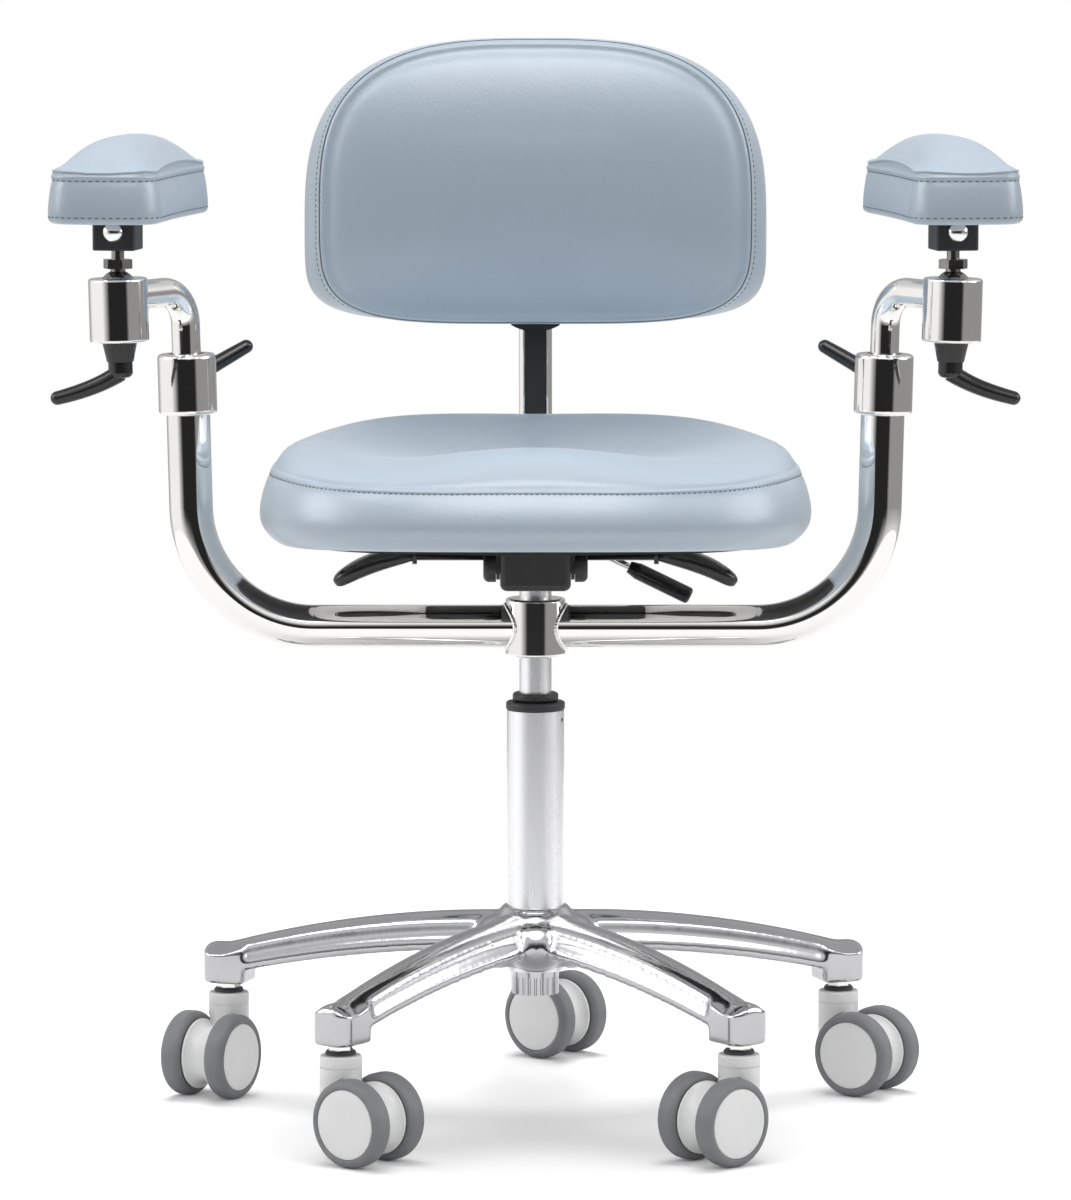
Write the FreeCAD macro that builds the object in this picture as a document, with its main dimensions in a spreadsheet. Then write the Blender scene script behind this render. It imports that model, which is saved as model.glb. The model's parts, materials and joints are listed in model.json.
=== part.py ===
import FreeCAD, Part
import math
import os
from collections import namedtuple
from types import SimpleNamespace

import Sketcher
from FreeCAD import Placement, Rotation, Vector

# Microscope chair: five-star castor base, gas lift, tilting seat and back, two ball-jointed arm rests.
# Millimetres and degrees. The origin is on the swivel axis at floor level, the sitter faces -Y, +Z is up.

# Driving sizes
SIZES = {
    # Fits
    "running_gap": 0.05,
    "clear_gap": 0.3,
    # Castors
    "wheel_radius": 37.5,
    "wheel_width": 20,
    "wheel_gap": 24,
    "wheel_round": 7,
    "wheel_space": 2,
    "wheel_hub_relief": 2,
    "wheel_web": 4,
    "wheel_face_dome": 1.6,
    "tyre_depth": 8,
    "castor_trail": 30.5,
    "castor_rise": 52.5,
    "castor_neck_radius": 18,
    "castor_neck_rise": 6.5,
    "castor_neck_round": 2,
    "castor_groove_drop": 10,
    "castor_groove_width": 1,
    "castor_groove_depth": 0.8,
    "spool_inset": 6.5,
    "spool_lip": 2,
    "spool_waist_depth": 7,
    "axle_radius": 5,
    "axle_bite": 14,
    "stem_radius": 5.5,
    "stem_bite": 28,
    "stem_grip": 32,
    "stem_hex_flats": 18,
    "stem_hex_height": 4.5,
    "seal_radius": 13,
    "seal_height": 4,
    "seal_round": 1.5,
    # Five-star base
    "castor_circle": 286,
    "base_turn": 0.94,
    "hub_wall": 13,
    "hub_neck_wall": 3.5,
    "hub_foot_drop": 13,
    "hub_neck_rise": 6,
    "hub_waist": 2,
    "leg_foot_rise": 35.5,
    "leg_foot_step": 8,
    "leg_ridge_rise": 41.5,
    "leg_ridge_step": 0.5,
    "leg_root_width": 50,
    "leg_tip_width": 36.5,
    "leg_root_ridge_width": 38,
    "leg_tip_ridge_width": 30,
    "leg_flange": 9,
    "leg_flute": 1.5,
    "leg_wall": 5,
    "socket_width": 37.5,
    "socket_reach": 20,
    "socket_height": 36.5,
    "socket_corner": 11,
    # Column and gas lift
    "column_radius": 25,
    "column_wall": 3,
    "column_drop": 5,
    "column_length": 229.5,
    "column_floor": 6,
    "column_hole_radius": 1.8,
    "column_hole_drop": 8,
    "column_hole_turn": -22,
    "foot_radius": 20.5,
    "foot_wall": 6,
    "foot_height": 21,
    "foot_flutes": 24,
    "flute_radius": 1.3,
    "flute_length": 15.75,
    "guide_length": 95,
    "guide_rim_lip": 0.8,
    "guide_rim_height": 7.5,
    "guide_rim_round": 2,
    "buffer_radius": 20,
    "buffer_height": 7.8,
    "buffer_round": 2.6,
    "lift_radius": 14,
    "lift_wall": 2,
    "lift_length": 321,
    "lift_inset": 1,
    "lift_plug": 12,
    "lift_cap": 19,
    "piston_rod_radius": 5,
    "piston_rod_play": 1.5,
    "piston_rod_tail": 15,
    "piston_flange": 4,
    "piston_set": 134,
    "piston_height": 12,
    "bearing_radius": 15,
    "bearing_height": 8,
    "bearing_round": 1.5,
    # Arm frame
    "arm_hub_radius": 26,
    "arm_hub_gap": 32.45,
    "arm_hub_margin": 6.25,
    "arm_hub_round": 2.5,
    "arm_tube_radius": 19,
    "arm_tube_wall": 2,
    "arm_gap": 60.2,
    "arm_bend": 107,
    "arm_lean": 1.4,
    "arm_collar_radius": 25.5,
    "arm_collar_bottom": 81.7,
    "arm_collar_height": 53,
    "arm_collar_round": 4,
    "arm_collar_lap": 2,
    "arm_bush_wall": 3,
    # Seat mechanism
    "mechanism_width": 61,
    "mechanism_front": 85,
    "mechanism_rear": 88,
    "mechanism_gap": 14.25,
    "mechanism_corner": 7,
    "mechanism_keel": 6,
    "tray_height": 19,
    "case_height": 15,
    "tilt_axle_inset": 25,
    "tilt_axle_radius": 6,
    "axle_cap_radius": 13,
    "axle_cap_length": 11,
    "axle_cap_round": 5,
    "ear_thickness": 3,
    "ear_wall": 5,
    "back_axle_inset": 16,
    "back_axle_rise": 12,
    "back_axle_radius": 5,
    "back_axle_short": 3,
    "lever_shaft_set": 24,
    "lever_shaft_rise": 7,
    "lever_shaft_radius": 5,
    "lever_bite": 10,
    "lever_ring_wall": 3.4,
    "lever_ring_width": 5,
    "lever_ring_reach": 108,
    "lever_paddle_length": 58,
    "lever_paddle_drop": 31,
    "lever_paddle_width": 34,
    "lever_paddle_height": 14,
    "back_lever_set": 46,
    "back_lever_radius": 3.2,
    "back_lever_bend": 12.8,
    "back_lever_straight": 12,
    "back_lever_slope": 26,
    "back_lever_length": 62,
    "back_grip_radius": 7.5,
    "back_grip_length": 60,
    "back_grip_bore": 24,
    "back_grip_taper": 9,
    "back_grip_round": 3,
    # Seat
    "seat_half_width": 240,
    "seat_half_depth": 212,
    "seat_corner": 150,
    "seat_bow": 10,
    "seat_side_bow": 3,
    "seat_gap": 4,
    "seat_wall": 60,
    "seat_rear_rise": 33,
    "seat_crest_rise": 22,
    "seat_dish_rise": 7,
    "seat_pan_inset": 24,
    "seat_pan_height": 9,
    "seat_recess": 2,
    "seat_plate_half": 92,
    "seat_plate_set": 4,
    "seat_plate_thickness": 4,
    # Back rest
    "post_width": 30,
    "post_depth": 14,
    "post_nose": 10,
    "post_gap": 43,
    "post_bend": 52,
    "post_rise": 6,
    "strip_width": 20,
    "strip_depth": 3,
    "strip_inset": 0.8,
    "strip_start": 12,
    "carriage_side": 7,
    "carriage_wall": 9,
    "carriage_drop": 12,
    "carriage_height": 132,
    "back_half_width": 208,
    "back_gap": 81,
    "back_height": 254,
    "back_depth": 73,
    "back_shell_thickness": 8,
    # Arm crank, ball joint and clamp levers
    "crank_radius": 12.5,
    "crank_wall": 2.5,
    "crank_tail": 65,
    "crank_rise": 25,
    "crank_bend": 30,
    "crank_reach": 92,
    "crank_swing": 55,
    "barrel_wall": 9.2,
    "barrel_rise": 16.5,
    "barrel_floor": 22,
    "barrel_round": 2.5,
    "cup_gap": 0.5,
    "cup_floor": 7.2,
    "cup_rim_drop": 8,
    "ball_radius": 16,
    "ball_rise": 7,
    "stud_radius": 5.5,
    "stud_neck_wall": 1,
    "stud_hex_flats": 22,
    "stud_hex_height": 8,
    "stud_hex_gap": 1,
    "stud_bite": 19,
    "clamp_boss_radius": 12,
    "clamp_boss_proud": 4.5,
    "clamp_stud_radius": 4,
    "clamp_bite": 8,
    "clamp_cone_radius": 15,
    "clamp_cone_height": 17,
    "clamp_neck_radius": 10.5,
    "clamp_neck_height": 14,
    "clamp_neck_step": 1,
    "clamp_neck_round": 5,
    "clamp_arm_rise": 9,
    "clamp_arm_climb": 21,
    "clamp_reach": 55,
    "clamp_tip_radius": 6,
    "clamp_root_radius": 8,
    "clamp_lift": 28,
    # Arm pads
    "pad_block_side": 37,
    "pad_block_height": 26.5,
    "pad_block_gap": 8,
    "pad_block_corner": 3,
    "pad_block_round": 1.5,
    "pad_block_roof": 1,
    "pad_half_width": 51,
    "pad_half_length": 120,
    "pad_corner": 22,
    "pad_bow": 7,
    "pad_waist": 4,
    "pad_wall": 38,
    "pad_crown": 32,
    "pad_toe": 9,
    "pad_offset": 10,
}

# Castor positions: leg number counted round from the right, and where the wheels trail at rest
CASTORS = {
    "rear": (1, -40),
    "left": (2, -119),
    "front_left": (3, -38.5),
    "front_right": (4, -137),
    "right": (0, -35),
}
LEGS = 5
SIDES = {"left": -1, "right": 1}
UP = Vector(0, 0, 1)
ALONG_X = Vector(1, 0, 0)
ALONG_Y = Vector(0, 1, 0)

doc = FreeCAD.newDocument("microscope_chair")
sheet = doc.addObject("Spreadsheet::Sheet", "sizes")
for row, (name, number) in enumerate(SIZES.items(), 1):
    sheet.set(f"A{row}", name)
    sheet.set(f"B{row}", str(number))
    sheet.setAlias(f"B{row}", name)
doc.recompute()


# Sizes that know both their number and the sheet expression behind it
class Size:
    def __init__(self, value, text=None):
        self.value = float(value)
        self.text = text or repr(float(value))

    def __add__(self, other):
        other = sized(other)
        return Size(self.value + other.value, f"({self.text} + {other.text})")

    def __sub__(self, other):
        other = sized(other)
        return Size(self.value - other.value, f"({self.text} - {other.text})")

    def __mul__(self, other):
        other = sized(other)
        return Size(self.value * other.value, f"({self.text} * {other.text})")

    def __truediv__(self, other):
        other = sized(other)
        return Size(self.value / other.value, f"({self.text} / {other.text})")

    def __radd__(self, other):
        return sized(other) + self

    def __rsub__(self, other):
        return sized(other) - self

    def __rmul__(self, other):
        return sized(other) * self

    def __neg__(self):
        return Size(-self.value, f"(0 - {self.text})")


def sized(amount):
    return amount if isinstance(amount, Size) else Size(amount)


def sine(angle):
    angle = sized(angle)
    return Size(math.sin(math.radians(angle.value)), f"sin({angle.text})")


def cosine(angle):
    angle = sized(angle)
    return Size(math.cos(math.radians(angle.value)), f"cos({angle.text})")


def root(amount):
    return Size(math.sqrt(amount.value), f"sqrt({amount.text})")


size = SimpleNamespace(**{name: Size(sheet.get(name), f"sizes.{name}") for name in SIZES})
sub_parts = []

# Levels and radii that follow from the sizes, from the floor up
size.disc_radius = size.wheel_radius - size.tyre_depth
size.spool_radius = size.wheel_radius - size.spool_inset
size.castor_height = size.wheel_radius + size.castor_rise
size.stem_bottom = size.castor_height - size.stem_grip
size.stem_hex_bottom = size.castor_height + size.seal_height
size.socket_bottom = size.stem_hex_bottom + size.stem_hex_height
size.socket_top = size.socket_bottom + size.socket_height
size.leg_tip_foot = size.socket_bottom + size.leg_foot_step
size.leg_root_foot = size.leg_tip_foot + size.leg_foot_rise
size.leg_tip_ridge = size.socket_top - size.leg_ridge_step
size.leg_root_ridge = size.leg_tip_ridge + size.leg_ridge_rise
size.hub_radius = size.column_radius + size.hub_wall
size.column_bottom = size.leg_root_foot - size.hub_foot_drop - size.column_drop
size.column_top = size.column_bottom + size.column_length
size.foot_bottom = size.column_bottom - size.foot_height
size.guide_rim_top = size.column_top + size.guide_rim_height
size.buffer_top = size.guide_rim_top + size.buffer_height
size.arm_hub_bottom = size.buffer_top + size.arm_hub_gap
size.arm_tube_level = size.arm_hub_bottom + size.arm_hub_margin + size.arm_tube_radius
size.arm_hub_top = size.arm_tube_level + size.arm_tube_radius + size.arm_hub_margin
size.mechanism_bottom = size.arm_hub_top + size.mechanism_gap
size.mechanism_split = size.mechanism_bottom + size.tray_height
size.mechanism_top = size.mechanism_split + size.case_height
size.lift_top = size.mechanism_top - size.lift_inset
size.lift_bottom = size.lift_top - size.lift_length
size.tilt_axle_set = size.mechanism_front - size.tilt_axle_inset
size.back_axle_set = size.mechanism_rear - size.back_axle_inset
size.back_axle_level = size.mechanism_bottom + size.back_axle_rise
size.lever_shaft_level = size.mechanism_split + size.lever_shaft_rise
size.seat_plate_bottom = size.mechanism_top + size.seat_gap
size.seat_pan_bottom = size.seat_plate_bottom + size.seat_plate_thickness
size.seat_bottom = size.seat_pan_bottom - size.seat_recess
size.seat_seam = size.seat_bottom + size.seat_wall
size.seat_rear_rim = size.seat_seam + size.seat_rear_rise
size.back_bottom = size.seat_rear_rim + size.back_gap
size.back_top = size.back_bottom + size.back_height
size.carriage_bottom = size.back_bottom - size.carriage_drop
size.carriage_top = size.carriage_bottom + size.carriage_height
size.post_set = size.seat_half_depth + size.post_gap
size.post_top = size.carriage_top + size.post_rise
size.arm_reach = size.seat_half_width + size.arm_gap
size.arm_collar_top = size.arm_collar_bottom + size.arm_collar_height
size.clamp_boss_reach = size.arm_collar_radius + size.clamp_boss_proud
size.crank_bottom = size.arm_collar_bottom - size.crank_tail
size.crank_level = size.arm_collar_top + size.crank_rise + size.crank_bend
size.bush_radius = size.crank_radius + size.running_gap + size.arm_bush_wall
size.ball_seat = size.ball_radius + size.clear_gap
size.ball_drop = size.ball_radius - size.ball_rise
size.ball_level = size.barrel_floor + size.cup_gap + size.cup_floor + size.ball_seat
size.barrel_radius = size.ball_seat + size.barrel_wall
size.barrel_height = size.ball_level + size.ball_drop
size.barrel_bottom = size.crank_level + size.barrel_rise - size.barrel_height
size.stud_hex_bottom = size.ball_radius + size.stud_hex_gap
size.pad_block_bottom = size.stud_hex_bottom + size.stud_hex_height + size.pad_block_gap

# A point that an arc passes through, between two corners of an outline
Via = namedtuple("Via", "x y")


# Drawing and feature helpers
def bind(feature, prop, amount):
    feature.setExpression(prop, sized(amount).text)


def keep(feature):
    sub_parts.append(feature)
    return feature


def place(feature, at=(0, 0, 0), turn=None):
    at = [sized(part) for part in at]
    feature.Placement = Placement(Vector(*[part.value for part in at]), turn or Rotation())
    for axis, part in zip("xyz", at):
        bind(feature, f"Placement.Base.{axis}", part)
    return feature


def new_sketch(body, name, role, lift=0):
    plane = next(item for item in body.Origin.OriginFeatures if item.Role == role)
    sketch = body.newObject("Sketcher::SketchObject", name)
    sketch.AttachmentSupport = [(plane, "")]
    sketch.MapMode = "FlatFace"
    bind(sketch, "AttachmentOffset.Base.z", lift)
    return sketch


def pin(sketch, edge, end, x, y):
    for kind, amount in (("DistanceX", sized(x)), ("DistanceY", sized(y))):
        index = sketch.addConstraint(Sketcher.Constraint(kind, -1, 1, edge, end, amount.value))
        bind(sketch, f"Constraints[{index}]", amount)


def flat(point):
    return Vector(sized(point[0]).value, sized(point[1]).value, 0)


def draw(body, name, role, points, lift=0, closed=True):
    """A sketch through the given corners, every one bound to the sheet, with its arcs drawn anticlockwise."""
    sketch = new_sketch(body, name, role, lift)
    runs = []
    for index, point in enumerate(points):
        last = index + 1 == len(points)
        if isinstance(point, Via) or (last and not closed):
            continue
        after = points[(index + 1) % len(points)]
        if isinstance(after, Via):
            far = points[(index + 2) % len(points)]
            ends = [flat(point), flat(far)]
            forward = (flat(after) - ends[0]).cross(ends[1] - ends[0]).z > 0
            edge = sketch.addGeometry(Part.Arc(ends[not forward], flat(after), ends[forward]))
            mark = sketch.addGeometry(Part.Point(flat(after)), True)
            sketch.addConstraint(Sketcher.Constraint("PointOnObject", mark, 1, edge))
            pin(sketch, mark, 1, *after)
        else:
            far = after
            forward = True
            edge = sketch.addGeometry(Part.LineSegment(flat(point), flat(far)))
        runs.append((edge, 1 if forward else 2, 2 if forward else 1, point, far))
    for run, following in zip(runs, runs[1:] + runs[:1] if closed else runs[1:]):
        sketch.addConstraint(Sketcher.Constraint("Coincident", run[0], run[2], following[0], following[1]))
    for edge, start, end, point, far in runs:
        pin(sketch, edge, start, *point)
    if not closed:
        pin(sketch, runs[-1][0], runs[-1][2], *runs[-1][4])
    return sketch


def rings(body, name, role, *radii):
    sketch = new_sketch(body, name, role)
    for radius in radii:
        edge = sketch.addGeometry(Part.Circle(Vector(), UP, radius.value))
        sketch.addConstraint(Sketcher.Constraint("Coincident", edge, 3, -1, 1))
        index = sketch.addConstraint(Sketcher.Constraint("Radius", edge, radius.value))
        bind(sketch, f"Constraints[{index}]", radius)
    return sketch


def round_edges(body, name, radius, wanted):
    """Fillets the edges of the body that the given test picks."""
    doc.recompute()
    base = body.Tip
    names = [f"Edge{number}" for number, edge in enumerate(base.Shape.Edges, 1) if wanted(edge)]
    fillet = body.newObject("PartDesign::Fillet", name)
    fillet.Base = (base, names)
    bind(fillet, "Radius", radius)
    doc.recompute()
    return fillet


def rim_at(*corners):
    """A test for circular edges about the Z axis through the given profile corners."""
    spots = [(sized(x).value, sized(y).value) for x, y in corners]

    def wanted(edge):
        if not isinstance(edge.Curve, Part.Circle):
            return False
        spot = (edge.Curve.Radius, edge.Curve.Center.z)
        return any(math.dist(spot, other) < 1e-4 for other in spots)

    return wanted


def upright(edge):
    box = edge.BoundBox
    return box.ZLength > 1 and box.XLength + box.YLength < 1e-4


def flat_at(level):
    return lambda edge: abs(edge.BoundBox.ZMin - level) + abs(edge.BoundBox.ZMax - level) < 1e-4


def turned(name, points, rims=(), rim_radius=1):
    """A body turned about its own Z axis, with chosen rims rounded."""
    body = doc.addObject("PartDesign::Body", name)
    profile = draw(body, name + "_profile", "XZ_Plane", points)
    turn = body.newObject("PartDesign::Revolution", name + "_turn")
    turn.Profile = profile
    turn.ReferenceAxis = (profile, ["V_Axis"])
    turn.Angle = 360
    if rims:
        round_edges(body, name + "_rims", rim_radius, rim_at(*rims))
    return body


def padded(name, role, points, depth, lift=0):
    """A body padded from one outline, along the plane's normal."""
    body = doc.addObject("PartDesign::Body", name)
    outline = draw(body, name + "_outline", role, points, lift)
    pad = body.newObject("PartDesign::Pad", name + "_pad")
    pad.Profile = outline
    bind(pad, "Length", depth)
    return body


def swept(name, profile_role, path_role, path_points, profile):
    """A body swept along a path that starts at the origin."""
    body = doc.addObject("PartDesign::Body", name)
    path = draw(body, name + "_path", path_role, path_points, closed=False)
    section = profile(body, name + "_section", profile_role)
    doc.recompute()
    sweep = body.newObject("PartDesign::AdditivePipe", name + "_sweep")
    sweep.Profile = section
    sweep.Spine = (path, [f"Edge{number}" for number in range(1, len(path.Shape.Edges) + 1)])
    return body


def tube_section(outer, wall):
    return lambda body, name, role: rings(body, name, role, outer, outer - wall)


def bar_section(radius):
    return lambda body, name, role: rings(body, name, role, radius)


def rod(name, radius, length, at=(0, 0, 0), along=UP):
    feature = doc.addObject("Part::Cylinder", name)
    bind(feature, "Radius", radius)
    bind(feature, "Height", length)
    return place(feature, at, Rotation(UP, along))


def block(name, width, depth, height, at):
    """A box centred on the given point in X and Y, standing on it in Z."""
    feature = doc.addObject("Part::Box", name)
    bind(feature, "Length", width)
    bind(feature, "Width", depth)
    bind(feature, "Height", height)
    return place(feature, (at[0] - width / 2, at[1] - depth / 2, at[2]))


def hexagon(name, flats, height, at):
    feature = doc.addObject("Part::Prism", name)
    feature.Polygon = 6
    bind(feature, "Circumradius", flats / math.sqrt(3))
    bind(feature, "Height", height)
    return place(feature, at)


def cut(name, base, *tools):
    feature = doc.addObject("Part::Cut", name)
    feature.Base = base
    feature.Tool = tools[0] if len(tools) == 1 else fuse(name + "_tools", *tools)
    return feature


def fuse(name, *pieces):
    feature = doc.addObject("Part::MultiFuse", name)
    feature.Shapes = list(pieces)
    return feature


def common(name, base, tool):
    feature = doc.addObject("Part::Common", name)
    feature.Base = base
    feature.Tool = tool
    return feature


def group(name, *pieces):
    feature = doc.addObject("Part::Compound", name)
    feature.Links = list(pieces)
    return feature


def copied(name, spot, *pieces):
    """The given template pieces again, as one feature set down at its own spot."""
    feature = group(name, *pieces)
    feature.Placement = spot
    return feature


def shaped(name, shape):
    feature = doc.addObject("Part::Feature", name)
    feature.Shape = shape
    return feature


def outline_wire(points, spot):
    """A closed wire of lines and arcs, where spot turns each flat point into a place in space."""
    edges = []
    for index, point in enumerate(points):
        if isinstance(point, Via):
            continue
        after = points[(index + 1) % len(points)]
        if isinstance(after, Via):
            far = points[(index + 2) % len(points)]
            edges.append(Part.Arc(spot(*point), spot(*after), spot(*far)).toShape())
        else:
            edges.append(Part.LineSegment(spot(*point), spot(*after)).toShape())
    return Part.Wire(edges)


def form_solid(sections, spot):
    """A solid lofted through flat outlines, each given with how far along it stands."""
    wires = []
    for far, points in sections:
        wires.append(outline_wire(points, lambda across, other, far=far: spot(across, other, far)))
    return Part.makeLoft(wires, True)


def stacked(across, along, level):
    return Vector(across, along, level)


def facing(across, level, along):
    return Vector(across, along, level)


# Five-star base
def leg_level(near, far, distance):
    """Legs arch: they fall with the square of the distance from the hub."""
    share = distance / size.castor_circle
    return near - (near - far) * share * share


def leg_blend(near, far, distance):
    return near + (far - near) * distance / size.castor_circle


def leg_outline(distance):
    half = leg_blend(size.leg_root_width, size.leg_tip_width, distance) / 2
    ridge_half = leg_blend(size.leg_root_ridge_width, size.leg_tip_ridge_width, distance) / 2
    foot = leg_level(size.leg_root_foot, size.leg_tip_foot, distance)
    ridge = leg_level(size.leg_root_ridge, size.leg_tip_ridge, distance)
    shoulder = ridge - ridge_half * 0.55
    flange = foot + size.leg_flange
    flute_x = (half + ridge_half) / 2 - size.leg_flute
    flute_y = (flange + shoulder) / 2 - size.leg_flute
    return [
        (-half, foot),
        (half, foot),
        (half, flange),
        Via(flute_x, flute_y),
        (ridge_half, shoulder),
        Via(0, ridge),
        (-ridge_half, shoulder),
        Via(-flute_x, flute_y),
        (-half, flange),
    ]


def leg_hollow_outline(distance):
    ridge_half = leg_blend(size.leg_root_ridge_width, size.leg_tip_ridge_width, distance) / 2
    half = ridge_half - size.leg_wall / 2
    foot = leg_level(size.leg_root_foot, size.leg_tip_foot, distance) - size.leg_wall
    roof = leg_level(size.leg_root_ridge, size.leg_tip_ridge, distance) - size.leg_wall * 2
    return [(-half, foot), (half, foot), (half * 0.7, roof), (-half * 0.7, roof)]


def socket_outline():
    near = size.castor_circle - size.socket_reach
    far = size.castor_circle + size.socket_reach
    half = size.socket_width / 2
    corner = size.socket_corner
    inset = corner * (1 - math.sqrt(0.5))
    return [
        (near, -half),
        (far - corner, -half),
        Via(far - inset, inset - half),
        (far, corner - half),
        (far, half - corner),
        Via(far - inset, half - inset),
        (far - corner, half),
        (near, half),
    ]


def lofted(body, kind, name, outline, distances):
    sketches = []
    for step, far in enumerate(distances):
        sketches.append(draw(body, f"{name}_{step}", "YZ_Plane", outline(far), far))
    loft = body.newObject(kind, name)
    loft.Profile = sketches[0]
    loft.Sections = sketches[1:]
    doc.recompute()


def make_leg():
    """One leg: a castor socket with a rounded crown, the fluted arch that meets it, a hollow underside."""
    depth = size.socket_top - size.socket_bottom
    body = padded("leg", "XY_Plane", socket_outline(), depth, size.socket_bottom)
    reach = size.castor_circle
    near = (reach - size.socket_reach).value
    at_top = flat_at(size.socket_top.value)

    def crown(edge):
        return at_top(edge) and edge.BoundBox.XMax > near + 1

    round_edges(body, "socket_crown", size.socket_corner / 2, crown)
    inside = size.column_radius + size.leg_wall
    lofted(body, "PartDesign::AdditiveLoft", "arch", leg_outline, (inside, reach * 0.42, reach * 0.72, reach))
    hollow_end = reach - size.socket_reach - size.leg_wall
    hollow_ends = (size.hub_radius + size.leg_wall * 2, reach * 0.55, hollow_end)
    lofted(body, "PartDesign::SubtractiveLoft", "hollow", leg_hollow_outline, hollow_ends)
    return body


def leg_turn(number):
    return Rotation(UP, 360 / LEGS * (number + 0.25) + size.base_turn.value)


def make_base_star():
    """Cast star: a turned hub with the leg repeated round it and the stem bores drilled."""
    bottom = size.leg_root_foot - size.hub_foot_drop
    top = size.leg_root_ridge + size.hub_neck_rise
    hub_profile = [
        (size.column_radius, bottom),
        (size.hub_radius, bottom),
        (size.hub_radius, size.leg_root_foot),
        Via(size.hub_radius - size.hub_waist, (top + size.leg_root_foot) / 2 + size.hub_waist * 2),
        (size.column_radius + size.hub_neck_wall, top),
        (size.column_radius, top),
    ]
    hub = turned("star_hub", hub_profile)
    leg = make_leg()
    legs = []
    bores = []
    for number in range(LEGS):
        turn = leg_turn(number)
        legs.append(copied(f"leg_{number}", Placement(Vector(), turn), leg))
        spot = turn.multVec(Vector(size.castor_circle.value, 0, 0))
        at = (spot.x, spot.y, size.socket_bottom)
        bores.append(rod(f"stem_bore_{number}", size.stem_radius, size.stem_bite, at))
    keep(cut("base_star", fuse("star_casting", hub, *legs), *bores))


# Castors
def make_fender():
    """Castor body: a waisted spool with its axle, under a grooved neck that is cut clear of the wheels."""
    face = size.wheel_gap / 2 - size.clear_gap
    lip = face - size.spool_lip
    end = face + size.axle_bite
    spool_profile = [
        (0, -end),
        (size.axle_radius, -end),
        (size.axle_radius, -face),
        (size.spool_radius, -face),
        (size.spool_radius, -lip),
        Via(size.spool_radius - size.spool_waist_depth, 0),
        (size.spool_radius, lip),
        (size.spool_radius, face),
        (size.axle_radius, face),
        (size.axle_radius, end),
        (0, end),
    ]
    axle = (size.castor_trail, 0, size.wheel_radius)
    spool = place(turned("castor_spool", spool_profile), axle, Rotation(UP, ALONG_Y))
    groove = size.castor_height - size.castor_groove_drop
    half = size.castor_groove_width / 2
    radius = size.castor_neck_radius
    waist = radius - size.castor_groove_depth
    bottom = size.wheel_radius + size.castor_neck_rise
    neck_profile = [
        (0, bottom),
        (radius, bottom),
        (radius, groove - half),
        (waist, groove - half),
        (waist, groove + half),
        (radius, groove + half),
        (radius, size.castor_height),
        (0, size.castor_height),
    ]
    neck = turned("castor_neck", neck_profile, [(radius, size.castor_height)], size.castor_neck_round)
    depth = size.castor_height - size.stem_bottom
    spaces = [rod("stem_well", size.stem_radius + size.running_gap, depth, (0, 0, size.stem_bottom))]
    for name, side in SIDES.items():
        start = (size.castor_trail, face * side, size.wheel_radius)
        space_radius = size.wheel_radius + size.wheel_space
        depth = size.wheel_width * 2
        spaces.append(rod(f"wheel_space_{name}", space_radius, depth, start, ALONG_Y * side))
    return fuse("castor_fender", cut("castor_fork", neck, *spaces), spool)


def make_wheel_pieces():
    """Tyre, and wheel core with its plain face disc, both standing on the wheel's inner face."""
    width = size.wheel_width
    radius = size.wheel_radius
    disc = size.disc_radius
    curve = size.wheel_round
    relief = size.wheel_hub_relief
    tuck = curve * (1 - math.sqrt(0.5))
    tyre_profile = [
        (disc, relief / 2),
        (radius - curve, relief / 2),
        Via(radius - tuck, relief / 2 + tuck),
        (radius, relief / 2 + curve),
        (radius, width - curve),
        Via(radius - tuck, width - tuck),
        (radius - curve, width),
        (disc, width - relief / 4),
    ]
    bore = size.axle_radius + size.running_gap
    face = width - size.wheel_face_dome + relief / 2
    bore_end = width - size.wheel_web
    core_profile = [
        (bore, 0),
        (bore * 2, 0),
        (bore * 2, relief),
        (disc, relief),
        (disc, face - relief / 2),
        (disc - relief / 2, face),
        (0, face + size.wheel_face_dome),
        (0, bore_end),
        (bore, bore_end),
    ]
    return turned("wheel_tyre", tyre_profile), turned("wheel_core", core_profile)


def make_castors():
    fender = make_fender()
    wheel = make_wheel_pieces()
    hex_bottom = size.stem_hex_bottom
    pin_bottom = size.stem_bottom + 1
    pin_length = size.socket_bottom + size.stem_bite - pin_bottom
    stem_pin = rod("stem_pin", size.stem_radius, pin_length, (0, 0, pin_bottom))
    stem_hex = hexagon("stem_hex", size.stem_hex_flats, size.stem_hex_height, (0, 0, hex_bottom))
    stem = fuse("stem", stem_pin, stem_hex)
    seal_bottom = size.castor_height + size.clear_gap
    seal_profile = [
        (size.stem_radius, seal_bottom),
        (size.seal_radius, seal_bottom),
        (size.seal_radius, hex_bottom - size.seal_round),
        (size.seal_radius - size.seal_round, hex_bottom),
        (size.stem_radius, hex_bottom),
    ]
    seal = turned("seal", seal_profile)
    stems = []
    seals = []
    for name, (number, trail_turn) in CASTORS.items():
        centre = leg_turn(number).multVec(Vector(size.castor_circle.value, 0, 0))
        spot = Placement(centre, Rotation(UP, trail_turn))
        keep(copied(f"castor_{name}_housing", spot, fender))
        for side_name, side in SIDES.items():
            inner = Vector(size.castor_trail.value, side * size.wheel_gap.value / 2, size.wheel_radius.value)
            wheel_spot = Placement(inner, Rotation(UP, ALONG_Y * side))
            keep(copied(f"castor_{name}_wheel_{side_name}", spot.multiply(wheel_spot), *wheel))
        stems.append(copied(f"stem_{name}", spot, stem))
        seals.append(copied(f"seal_{name}", spot, seal))
    keep(group("castor_stems", *stems))
    keep(group("castor_seals", *seals))


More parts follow.
